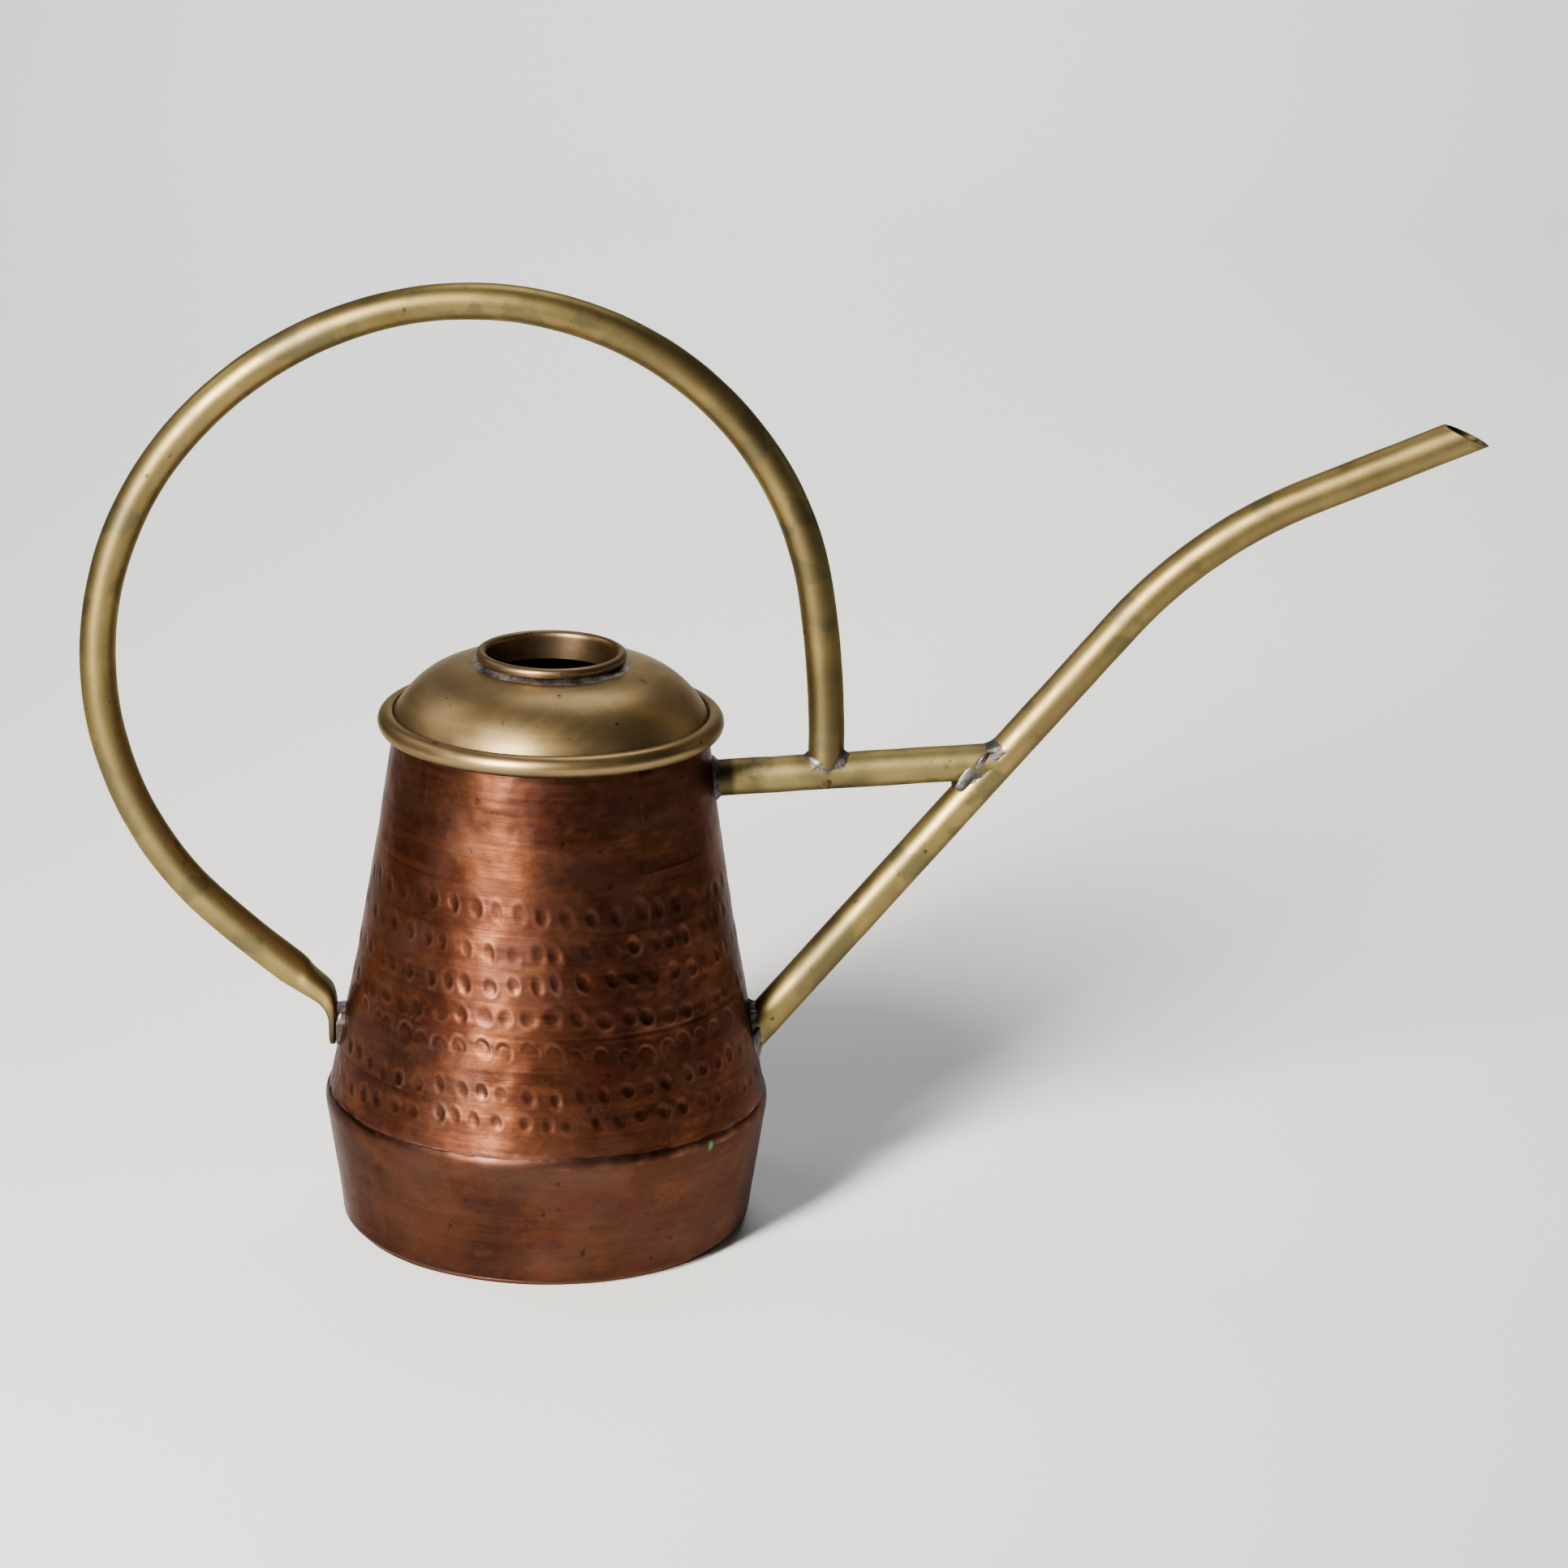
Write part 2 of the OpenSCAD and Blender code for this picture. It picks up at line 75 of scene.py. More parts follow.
def lattice(p, seed):
    """Smooth random values between -1 and 1 at points p, one bump a unit."""
    i = np.floor(p).astype(np.int64)
    f = p - i
    f = f * f * (3 - 2 * f)

    def at(x, y, z):
        n = x * 374761393 + y * 668265263 + z * 1274126177 + seed * 144665
        n = (n ^ (n >> 13)) * 1103515245
        return ((n ^ (n >> 16)) & 0xFFFF) / 32767.5 - 1

    total = 0
    for dx in (0, 1):
        for dy in (0, 1):
            for dz in (0, 1):
                w = (f[..., 0] if dx else 1 - f[..., 0]) * (f[..., 1] if dy else 1 - f[..., 1])
                w = w * (f[..., 2] if dz else 1 - f[..., 2])
                total = total + w * at(i[..., 0] + dx, i[..., 1] + dy, i[..., 2] + dz)
    return total


def rough(p, size, seed, octaves=2):
    """Layered noise at points p in millimetres, with bumps about size across."""
    total = 0
    for k in range(octaves):
        total = total + lattice(p / size * 2**k + 31.7 * k, seed + k) / 2**k
    return total


def smooth(edge0, edge1, x):
    t = np.clip((x - edge0) / (edge1 - edge0), 0, 1)
    return t * t * (3 - 2 * t)


def unit(v):
    return v / np.linalg.norm(v, axis=-1, keepdims=True)


def cone_r(z):
    t = (z - SHOULDER_H) / (CONE_TOP - SHOULDER_H)
    return CONE_R0 + (CONE_R1 - CONE_R0) * t - 4 * WAIST * t * (1 - t)


def dome_z(r):
    return DOME_Z + (DOME_TOP - DOME_Z) * (1 - (r / DOME_FOOT_R) ** DOME_POWER)


def around(angle, r, z):
    """Points at angle (n) and radius and height (m) as an m by n grid."""
    angle, r, z = np.asarray(angle)[None, :], np.asarray(r)[:, None], np.asarray(z)[:, None]
    return np.stack([r * np.cos(angle), r * np.sin(angle), z + 0 * angle], -1)


def turn(n):
    return np.linspace(0, 2 * math.pi, n, endpoint=False)


# ---------------------------------------------------------------- mesh building

def mesh_object(name, grids, material, sharp=40, marks=None):
    """One object from grids of points, each (points, wraps round, wraps along, cap ends)."""
    verts, faces, start = [], [], 0
    for points, wrap_u, wrap_v, capped in grids:
        nv, nu = points.shape[:2]
        index = np.arange(nv * nu).reshape(nv, nu) + start
        if wrap_u:
            index = np.concatenate([index, index[:, :1]], 1)
        if wrap_v:
            index = np.concatenate([index, index[:1]], 0)
        quads = np.stack([index[:-1, :-1], index[:-1, 1:], index[1:, 1:], index[1:, :-1]], -1)
        faces.extend(quads.reshape(-1, 4).tolist())
        verts.append(points.reshape(-1, 3))
        if capped:
            faces.append((np.arange(nu)[::-1] + start).tolist())
            faces.append((np.arange(nu) + start + (nv - 1) * nu).tolist())
        start += nv * nu
    mesh = bpy.data.meshes.new(name)
    mesh.from_pydata((np.concatenate(verts) * MM).tolist(), [], faces)
    mesh.validate()
    mesh.update()
    mesh.shade_smooth()
    mesh.set_sharp_from_angle(angle=math.radians(sharp))
    for key, values in (marks or {}).items():
        layer = mesh.attributes.new(key, "FLOAT", "POINT")
        layer.data.foreach_set("value", np.ascontiguousarray(values, np.float32).ravel())
    mesh.materials.append(material)
    thing = bpy.data.objects.new(name, mesh)
    bpy.context.scene.collection.objects.link(thing)
    return thing


def place(thing, slot, *nodes):
    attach(thing, "root")
    if nodes:
        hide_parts(*nodes)
    return thing


def lathe(profile, n, dent=0.0, seed=0, size=14.0):
    """Closed profile of (radius, height) turned about Z, with low dents."""
    profile = np.array(profile, float)
    points = around(turn(n), profile[:, 0], profile[:, 1])
    if dent:
        push = rough(points, size, seed)[..., None] * dent
        points = points + unit(points * [1, 1, 0] + 1e-9) * push
    return points


def arc(cx, cz, r, a0, a1, n):
    a = np.radians(np.linspace(a0, a1, n))
    return [(cx + r * math.cos(t), cz + r * math.sin(t)) for t in a]


def walk(x, z, heading, parts, step):
    """Centre line in the XZ plane: parts are (radius, turn) or (0, length). Turn is in radians."""
    rows = [(x, z, heading)]
    for radius, amount in parts:
        length = amount if radius == 0 else radius * abs(amount)
        n = max(2, int(length / step))
        for _ in range(n):
            da = 0 if radius == 0 else amount / n
            x += length / n * math.cos(heading + da / 2)
            z += length / n * math.sin(heading + da / 2)
            heading += da
            rows.append((x, z, heading))
    return np.array(rows)


def rings(line, thick, wide, box, n):
    """Cross-sections square to a centre line: thick across it in the XZ plane, wide along Y."""
    a = turn(n)
    power = (2 / np.asarray(box, float))[:, None]
    c = np.sign(np.cos(a)) * np.abs(np.cos(a)) ** power
    s = np.sign(np.sin(a)) * np.abs(np.sin(a)) ** power
    h = line[:, 2][:, None]
    across, along_y = np.asarray(thick)[:, None] / 2 * c, np.asarray(wide)[:, None] / 2 * s
    x = line[:, 0][:, None] - np.sin(h) * across
    z = line[:, 1][:, None] + np.cos(h) * across
    return np.stack([x, along_y, z], -1)


# ---------------------------------------------------------------- materials

class Nodes:
    """A material's node tree with short ways to add and join nodes."""

    def __init__(self, name):
        self.material = bpy.data.materials.new(name)
        self.material.use_nodes = True
        self.tree = self.material.node_tree
        self.shader = self.tree.nodes["Principled BSDF"]
        self.place = self.add("ShaderNodeTexCoord").outputs["Object"]

    def add(self, kind, **settings):
        node = self.tree.nodes.new(kind)
        for key, value in settings.items():
            setattr(node, key, value)
        return node

    def put(self, socket, value):
        if isinstance(value, bpy.types.NodeSocket):
            self.tree.links.new(value, socket)
        else:
            socket.default_value = value

    def scaled(self, scale):
        node = self.add("ShaderNodeMapping")
        node.inputs["Scale"].default_value = scale
        self.put(node.inputs["Vector"], self.place)
        return node.outputs["Vector"]

    def noise(self, scale, detail=4.0, roughness=0.55, stretch=(1, 1, 1), distortion=0.0):
        node = self.add("ShaderNodeTexNoise")
        self.put(node.inputs["Vector"], self.scaled(stretch))
        node.inputs["Scale"].default_value = scale
        node.inputs["Detail"].default_value = detail
        node.inputs["Roughness"].default_value = roughness
        node.inputs["Distortion"].default_value = distortion
        return node.outputs["Fac"]

    def ramp(self, value, *stops):
        node = self.add("ShaderNodeValToRGB")
        self.put(node.inputs["Fac"], value)
        marks = node.color_ramp.elements
        while len(marks) < len(stops):
            marks.new(0.5)
        for mark, (at, colour) in zip(marks, stops):
            mark.position = at
            mark.color = (*colour, 1) if not isinstance(colour, (int, float)) else (colour, colour, colour, 1)
        return node.outputs["Color"]

    def mix(self, factor, a, b, mode="MIX"):
        node = self.add("ShaderNodeMix", data_type="RGBA", blend_type=mode)
        self.put(node.inputs["Factor"], factor)
        # A mix node of colours has them at inputs 6 and 7 and at output 2
        for socket, value in ((node.inputs[6], a), (node.inputs[7], b)):
            self.put(socket, (*value, 1) if isinstance(value, tuple) and len(value) == 3 else value)
        return node.outputs[2]

    def maths(self, operation, a, b=0.0, clamp=False):
        node = self.add("ShaderNodeMath", operation=operation, use_clamp=clamp)
        self.put(node.inputs[0], a)
        self.put(node.inputs[1], b)
        return node.outputs[0]

    def mark(self, name):
        return self.add("ShaderNodeAttribute", attribute_name=name).outputs["Fac"]

    def bump(self, height, strength, distance, under=None):
        node = self.add("ShaderNodeBump")
        node.inputs["Strength"].default_value = strength
        node.inputs["Distance"].default_value = distance
        self.put(node.inputs["Height"], height)
        if under is not None:
            self.put(node.inputs["Normal"], under)
        return node.outputs["Normal"]

    def finish(self, colour, roughness, metallic, normal=None):
        self.put(self.shader.inputs["Base Color"], colour)
        self.put(self.shader.inputs["Roughness"], roughness)
        self.put(self.shader.inputs["Metallic"], metallic)
        if normal is not None:
            self.put(self.shader.inputs["Normal"], normal)
        return self.material


def copper(name, tone, dark, fresh, film, share):
    """Aged copper: dark clouds, fresh metal showing through, a dull film, fine turned lines and marks, some
    of them painted shade and highlight.
    """
    n = Nodes(name)
    clouds = n.noise(17, 6, 0.66, distortion=0.4)
    patches = n.noise(52, 5, 0.7, (1, 1, 1.6))
    streaks = n.noise(11, 6, 0.7, (1, 1, 26))
    fine = n.noise(34, 4, 0.65, (1, 1, 36))
    colour = n.mix(n.ramp(clouds, (0.36, 0.0), (0.62, 1.0)), dark, tone)
    colour = n.mix(n.maths("MULTIPLY", n.ramp(patches, (0.48, 0.0), (0.70, 1.0)), 0.60), colour, fresh)
    colour = n.mix(n.maths("MULTIPLY", n.ramp(streaks, (0.46, 0.0), (0.70, 1.0)), 0.28), colour, fresh)
    colour = n.mix(n.maths("MULTIPLY", n.ramp(fine, (0.50, 0.0), (0.70, 1.0)), 0.28), colour, dark)
    red = n.noise(38, 5, 0.65, (1, 1, 0.8), 0.6)
    red = n.maths("MULTIPLY", n.ramp(red, (0.54, 0.0), (0.68, 1.0)), 0.5)
    colour = n.mix(red, colour, (0.075, 0.014, 0.010))
    haze = n.maths("MULTIPLY", n.ramp(n.noise(27, 6, 0.7, (1, 1, 1.4), 0.5), (0.44, 0.0), (0.66, 1.0)), share)
    colour = n.mix(haze, colour, film)
    specks = n.noise(210, 3, 0.6)
    colour = n.mix(n.ramp(specks, (0.27, 0.7), (0.34, 0.0)), colour, (0.016, 0.008, 0.006))
    # Pale rims: rubbed metal, and on the punch marks also a painted highlight on one side.
    colour = n.mix(n.maths("MULTIPLY", n.mark("rim"), 0.42, True), colour, (0.30, 0.135, 0.085))
    # Dark pits and painted shade: patina and one-sided painted shade in the punch marks, painted shade on the
    # spout's side of the body and over the drum's shoulder.
    colour = n.mix(n.maths("MULTIPLY", n.mark("pit_and_shade"), 1.0, True), colour, (0.020, 0.008, 0.006))
    # Dark seams and turned lines, with painted shade at the drum's foot.
    colour = n.mix(n.maths("MULTIPLY", n.mark("line"), 0.8, True), colour, (0.018, 0.007, 0.005))
    colour = n.mix(n.maths("MULTIPLY", n.mark("green"), 0.9, True), colour, (0.07, 0.17, 0.12))
    roughness = n.maths("ADD", n.maths("MULTIPLY", patches, -0.22), 0.40)
    roughness = n.maths("ADD", n.maths("MULTIPLY", haze, 0.16), roughness)
    roughness = n.maths("ADD", n.maths("MULTIPLY", fine, 0.10), roughness)
    normal = n.bump(streaks, 0.10, 0.0005)
    normal = n.bump(n.noise(700, 2, 0.6, (0.25, 0.25, 1)), 0.12, 0.0002, normal)
    normal = n.bump(patches, 0.12, 0.0006, normal)
    n.shader.inputs["Specular Tint"].default_value = (0.56, 0.53, 0.52, 1)
    return n.finish(colour, roughness, 1.0, normal)


def brass(name, tone, dark, pale, film, grain, blots=0.5, shine=0.40):
    """Aged brass: clouds, a dull film, olive blots, small dark pits and fine lines along the grain, and
    marked darkening that is partly painted shade.
    """
    n = Nodes(name)
    clouds = n.noise(19, 6, 0.62, distortion=0.3)
    spots = n.noise(62, 3, 0.5)
    lines = n.noise(14, 5, 0.65, grain)
    pits = n.noise(230, 2, 0.5)
    colour = n.mix(n.ramp(clouds, (0.36, 0.0), (0.64, 1.0)), dark, tone)
    colour = n.mix(n.maths("MULTIPLY", n.ramp(lines, (0.5, 0.0), (0.75, 1.0)), 0.25), colour, pale)
    haze = n.ramp(n.noise(33, 5, 0.65, distortion=0.5), (0.46, 0.0), (0.66, 0.55))
    colour = n.mix(haze, colour, film)
    olive = n.maths("MULTIPLY", n.ramp(spots, (0.565, 0.0), (0.615, 1.0)), blots)
    colour = n.mix(olive, colour, (0.105, 0.092, 0.045))
    colour = n.mix(n.ramp(pits, (0.24, 0.85), (0.29, 0.0)), colour, (0.04, 0.03, 0.018))
    # Darker where marked: stains, film and dark lines, with painted shade on the tubes' undersides, the
    # handle's tab, the dome's crease, the bead and the upper dome.
    colour = n.mix(n.maths("MULTIPLY", n.mark("line"), 0.85, True), colour, (0.035, 0.026, 0.018))
    roughness = n.maths("ADD", n.maths("MULTIPLY", clouds, -0.16), shine)
    roughness = n.maths("ADD", n.maths("MULTIPLY", haze, 0.14), roughness)
    roughness = n.maths("ADD", n.maths("MULTIPLY", spots, 0.10), roughness)
    normal = n.bump(lines, 0.07, 0.0004)
    normal = n.bump(n.noise(420, 3, 0.6), 0.14, 0.0002, normal)
    n.shader.inputs["Specular Tint"].default_value = (0.60, 0.57, 0.50, 1)
    return n.finish(colour, roughness, 1.0, normal)


def solder(name, tone, dark):
    """Dull solder: dark and pale patches with a rough, pitted skin."""
    n = Nodes(name)
    clouds = n.noise(170, 5, 0.65)
    patches = n.noise(420, 3, 0.6)
    colour = n.mix(n.ramp(clouds, (0.40, 0.0), (0.64, 1.0)), dark, tone)
    colour = n.mix(n.ramp(patches, (0.36, 0.6), (0.46, 0.0)), colour, dark)
    roughness = n.maths("ADD", n.maths("MULTIPLY", clouds, 0.25), 0.36)
    normal = n.bump(patches, 0.35, 0.0004)
    return n.finish(colour, roughness, 1.0, normal)


COPPER = copper("copper_punched", (0.088, 0.028, 0.014), (0.027, 0.009, 0.006), (0.205, 0.068, 0.026),
                (0.085, 0.043, 0.032), 0.42)
COPPER_PLAIN = copper("copper_plain", (0.066, 0.024, 0.013), (0.028, 0.011, 0.008), (0.125, 0.043, 0.018),
                      (0.074, 0.042, 0.033), 0.45)
BRASS_SPUN = brass("brass_spun", (0.36, 0.245, 0.105), (0.19, 0.128, 0.060), (0.50, 0.350, 0.160),
                   (0.25, 0.160, 0.098), (1, 1, 30), 0.15, 0.39)
BRASS_NECK = brass("brass_neck", (0.20, 0.128, 0.066), (0.095, 0.060, 0.036), (0.32, 0.22, 0.115),
                   (0.14, 0.088, 0.058), (1, 1, 30), 0.12, 0.40)
BRASS_TUBE = brass("brass_tube", (0.29, 0.215, 0.074), (0.138, 0.100, 0.038), (0.40, 0.30, 0.112),
                   (0.165, 0.123, 0.058), (1, 8, 1), 0.65, 0.45)
BRASS_WORN = brass("brass_worn", (0.235, 0.185, 0.070), (0.125, 0.098, 0.040), (0.31, 0.25, 0.105),
                   (0.175, 0.137, 0.076), (1, 3, 1), 0.9, 0.54)
SOLDER = solder("solder_grey", (0.31, 0.295, 0.28), (0.075, 0.066, 0.060))
SOLDER_DARK = solder("solder_dark", (0.12, 0.11, 0.105), (0.028, 0.023, 0.021))
SOLDER_BROWN = solder("solder_browned", (0.095, 0.038, 0.022), (0.050, 0.019, 0.012))


# ---------------------------------------------------------------- copper body

def punch_rows():
    """Rows of oval punch marks: height, half width, half height, depth and kind of each row."""
    return [
        (118.6, 2.1, 3.3, 0.26, "side"),
        (108.0, 1.9, 3.0, 0.26, "side"),
        (97.4, 1.9, 3.0, 0.28, "low"),
        (85.9, 2.4, 2.9, 0.28, "low"),
        (76.2, 2.3, 2.9, 0.30, "arch"),
        (64.6, 1.9, 2.6, 0.28, "side"),
        (54.8, 1.9, 2.5, 0.26, "side"),
    ]


def punch(angle, z, push, pit_and_shade, rim):
    """Press each mark into the grid of the cone: a soft dish with a raised edge, darkened inside by patina,
    with painted shade in the groove and a painted highlight on the edge, both on one side.
    """
    da, dz = angle[1] - angle[0], z[1] - z[0]
    facing = {"side": 0.2, "low": -1.2, "arch": 1.57}
    for row, (height, a, b, depth, kind) in enumerate(punch_rows()):
        radius = cone_r(height)
        count = int(2 * math.pi * radius / MARK_PITCH)
        for k in range(count):
            at = 2 * math.pi * (k + 0.5 * (row % 2) + 0.11 * RNG.normal()) / count
            up = height + 0.4 * RNG.normal()
            up += 1.2 * math.sin(at * 2 + row * 1.7) + 0.6 * math.sin(at * 5 + row)
            wa, wb = a * RNG.uniform(1.0, 1.3), b * RNG.uniform(0.92, 1.18)
            strength = RNG.uniform(0.35, 1.0)
            darkening = (0.45 + 0.55 * strength) * RNG.uniform(0.6, 1.2) * (1.4 if row > 4 else 1.1)
            reach = 2.3 * max(wa, wb)
            span = int(reach / radius / da) + 1
            cols = np.arange(-span, span + 1) + int(round(at / da))
            first, last = int((up - reach - z[0]) / dz), int((up + reach - z[0]) / dz)
            rows = np.arange(max(first, 0), min(last + 1, len(z)))
            u = (cols * da - at)[None, :] * radius + 0.18 * (z[rows] - up)[:, None]
            v = (z[rows] - up)[:, None] + 0 * u
            r = np.hypot(u / wa, v / wb)
            # The crescent picks the side of each mark that gets the painted highlight on its edge and the
            # painted shade in its groove.
            crescent = 0.5 + 0.5 * np.cos(np.arctan2(v / wb, u / wa) - facing[kind] - RNG.normal() * 0.5)
            dish = np.exp(-((r / 0.72) ** 4))
            ridge = np.exp(-(((r - 1.08) / 0.24) ** 2)) * (0.08 + 0.92 * crescent**1.6)
            groove = np.exp(-(((r - 0.84) / 0.22) ** 2)) * crescent
            block = np.ix_(rows, cols % len(angle))
            if kind == "arch":
                push[block] += strength * depth * (0.4 * ridge - 0.7 * groove - 0.25 * dish)
                pit_and_shade[block] = np.maximum(pit_and_shade[block], darkening * (0.85 * groove + 0.20 * dish))
            else:
                push[block] += strength * depth * (0.35 * ridge - dish)
                core = np.exp(-((np.hypot(u / wa + 0.16, v / wb) / 0.58) ** 2))
                pit_and_shade[block] = np.maximum(pit_and_shade[block], darkening * (0.85 * core + 0.60 * groove))
            rim[block] = np.maximum(rim[block], strength * ridge * 0.9)


def seam_step(angle, at, radius, width, high, way=1):
    """A lapped seam: the upper sheet stands proud at its edge and sinks away over its width."""
    d = ((angle - at + math.pi) % (2 * math.pi) - math.pi) * radius * way
    return high * smooth(-0.25, 0.25, d) * (1 - smooth(1.5, width, d)), np.exp(-((d / 0.5) ** 2))


def spout_side_painted_shade(angle, points):
    """Painted shade on the spout's side of the body, in uneven patches, 0 to 1."""
    near = smooth(0.55, 0.97, np.cos(angle + math.radians(8)))
    return near[None, :] * np.clip(0.75 + 0.5 * rough(points, 16, 24), 0, 1)


def upper_cone():
    angle = turn(820)
    z = np.linspace(SHOULDER_H - 0.2, CONE_TOP, 276)
    push, pit_and_shade, rim = (np.zeros((len(z), len(angle))) for _ in range(3))
    punch(angle, z, push, pit_and_shade, rim)
    base = around(angle, cone_r(z), z)
    rim *= np.clip(0.6 + 0.8 * rough(base, 4, 22), 0, 1)
    pit_and_shade *= np.clip(0.75 + 0.5 * rough(base, 3, 23), 0, 1)
    # Painted shade on the spout's side of the cone.
    pit_and_shade = np.maximum(pit_and_shade, 0.45 * spout_side_painted_shade(angle, base))
    push += 0.22 * rough(base, 17, 11) + 0.10 * rough(base, 6, 12)
    push += 0.02 * rough(base * [1, 1, 9], 14, 13)
    # Turned lines: a low ridge under the smooth collar and shallow grooves between the rows
    wave = 0.9 * np.sin(angle * 2 + 1)[None, :]
    line = np.zeros_like(push)
    for height, wide, deep, seed in ((COLLAR_Z, 0.7, -0.16, 1), (COLLAR_Z - 2.7, 0.5, 0.07, 2),
                                     (91.5, 0.5, 0.03, 3), (81.3, 0.5, 0.07, 4), (70.2, 0.45, 0.03, 5),
                                     (59.3, 0.5, 0.10, 6)):
        part = np.clip(0.35 + 1.1 * rough(base * [1, 1, 0.1], 45, 40 + seed, 1), 0, 1)
        shape = np.exp(-(((z[:, None] - height - wave * 0.5) / wide) ** 2)) * part
        push -= deep * shape
        if deep > 0:
            line = np.maximum(line, shape * deep * 5)
    part = np.clip(0.3 + 1.2 * rough(base * [1, 1, 0.1], 50, 60, 1), 0, 1)
    for k in range(FINE_LINES):
        shape = np.exp(-(((z[:, None] - FINE_LINES_Z - 0.8 * k - wave * 0.5) / 0.22) ** 2)) * part
        push -= 0.06 * shape
        line = np.maximum(line, 0.5 * shape)
    step, edge = seam_step(angle, CONE_SEAM, radius=60, width=9, high=0.35)
    push += step[None, :]
    line = np.maximum(line, 0.75 * edge[None, :] * (0.5 + 0.5 * np.clip(rough(base, 12, 21), 0, 1)))
    step, edge = seam_step(angle, DRUM_SEAM, radius=66, width=7, high=0.12, way=-1)
    push += step[None, :]
    line = np.maximum(line, 0.5 * edge[None, :])
    push *= smooth(SHOULDER_H, SHOULDER_H + 4, z)[:, None] * (1 - smooth(CONE_TOP - 3, CONE_TOP, z))[:, None]
    slope = np.gradient(cone_r(z), z)
    normal = unit(around(angle, 1 + 0 * z, -slope))
    outer = base + normal * push[..., None]
    inner_z = np.linspace(CONE_TOP, SHOULDER_H - 0.2, 24)
    inner = around(angle, cone_r(inner_z) - WALL, inner_z)
    points = np.concatenate([outer, inner])
    blank = np.zeros((len(inner_z), len(angle)))
    marks = {k: np.concatenate([v, blank]) for k, v in (("pit_and_shade", pit_and_shade), ("rim", rim), ("line", line))}
    place(mesh_object("upper_cone_punched", [(points, True, True, False)], COPPER, 60, marks),
          "copper_sheet", "upper_cone")


def lower_drum():
    angle = turn(540)
    inside = FOOT_R - WALL - 0.05
    rows = [(inside, 0.9), (inside, FOOT_H)]
    rows += [(inside + (DRUM_R - inside) * math.sin(t) ** 0.8,
              FOOT_H + (FOOT_ROUND_H - FOOT_H) * (1 - math.cos(t)))
             for t in np.linspace(0.12, math.pi / 2, 9)]
    low = len(rows)
    for t in np.linspace(0.02, 0.88, 80):
        rows.append((DRUM_R + (SHOULDER_R - DRUM_R) * t, FOOT_ROUND_H + (SHOULDER_H - FOOT_ROUND_H) * t))
    # Rounded shoulder, then the edge that laps over the cone
    lap = SHOULDER_H + LAP_H
    ends = np.array([rows[-1], (SHOULDER_R + 0.35, SHOULDER_H + 0.4), (cone_r(lap) + 0.10, lap)])
    for t in np.linspace(0.05, 1, 20):
        rows.append(tuple((1 - t) ** 2 * ends[0] + 2 * t * (1 - t) * ends[1] + t * t * ends[2]))
    top = len(rows)
    rows.append((cone_r(lap) + 0.04, lap + 0.03))
    rows.append((cone_r(lap) - 0.1, lap))
    rows += [(cone_r(SHOULDER_H) - 0.1, SHOULDER_H - 0.2), (SHOULDER_R - WALL - 0.4, SHOULDER_H - 1.5)]
    rows += [(DRUM_R - WALL, FOOT_ROUND_H), (inside - WALL, FOOT_H), (inside - WALL, 0.9)]
    rows = np.array(rows)
    base = around(angle, rows[:, 0], rows[:, 1])
    push = 0.20 * rough(base, 22, 31) + 0.02 * rough(base * [1, 1, 8], 16, 32)
    step, edge = seam_step(angle, DRUM_SEAM, radius=67, width=8, high=0.3, way=-1)
    push += step[None, :]
    keep = smooth(FOOT_H, FOOT_ROUND_H + 2, rows[:, 1])
    keep[top + 2:] = 0
    push *= keep[:, None]
    out = unit(base * [1, 1, 0])
    points = base + out * push[..., None]
    # The lapped edge was cut and tapped down by hand, so it wanders
    wander = 0.55 * rough(base, 16, 33) + 0.25 * rough(base, 4, 34)
    lift = np.zeros(len(rows))
    lift[top - 9:top + 2] = np.linspace(0.1, 1, 11)
    points[..., 2] += wander * lift[:, None]
    line = 0.5 * edge[None, :] * np.clip(0.5 + 0.7 * rough(base, 10, 35), 0, 1)
    # Painted shade at the foot: the lowest rows fully dark, and the drum darker towards the floor.
    line[:low - 5] = 1
    foot = 0.45 * smooth(9, 2, rows[:, 1])[:, None] * np.clip(0.7 + 0.5 * rough(base, 8, 38), 0, 1)
    line = np.maximum(line, foot)
    # The lapped edge is scraped pale on the right, with one small green spot
    right = smooth(0.55, 0.85, np.cos(angle - math.radians(-38)))
    rim = np.zeros(push.shape)
    scraped = np.clip(0.1 + 1.2 * rough(base, 5, 36), 0, 1) * (0.12 + 0.88 * right)
    rim[top - 12:top + 1] = scraped[top - 12:top + 1]
    spot = np.hypot((angle - math.radians(-44)) % (2 * math.pi) * SHOULDER_R, (rows[:, 1] - 41.5)[:, None])
    green = smooth(1.9, 0.6, spot + 0.6 * rough(base, 1.5, 37))
    # Painted shade along the shoulder's rounded edge, to dull its glint, and on the spout's side of the drum.
    shoulder = 0.3 * np.exp(-(((base[..., 2] - SHOULDER_H - 1) / 2.2) ** 2))
    pit_and_shade = np.maximum(0.35 * spout_side_painted_shade(angle, base), shoulder)
    marks = {"pit_and_shade": pit_and_shade, "rim": rim, "line": line, "green": green}
    place(mesh_object("lower_drum_plain", [(points, True, True, False)], COPPER_PLAIN, 50, marks),
          "copper_sheet", "lower_drum")


def base_plate():
    rows = [(0.2, 0.0), (FOOT_R - 0.9, 0.0)] + arc(FOOT_R - 0.8, 0.8, 0.8, -80, 0, 5)
    rows += arc(FOOT_R - 0.3, FOOT_H - 0.3, 0.3, 0, 160, 5) + [(FOOT_R - WALL, 0.9), (0.2, 0.7)]
    points = lathe(rows, 360, 0.12, 41, 9)
    blank = np.zeros(points.shape[:2])
    marks = {"pit_and_shade": blank, "rim": blank + 0.25, "line": blank}
    place(mesh_object("base_plate_disc", [(points, True, True, False)], COPPER_PLAIN, 45, marks),
          "copper_sheet", "base_plate")


# ---------------------------------------------------------------- brass cover and mouth

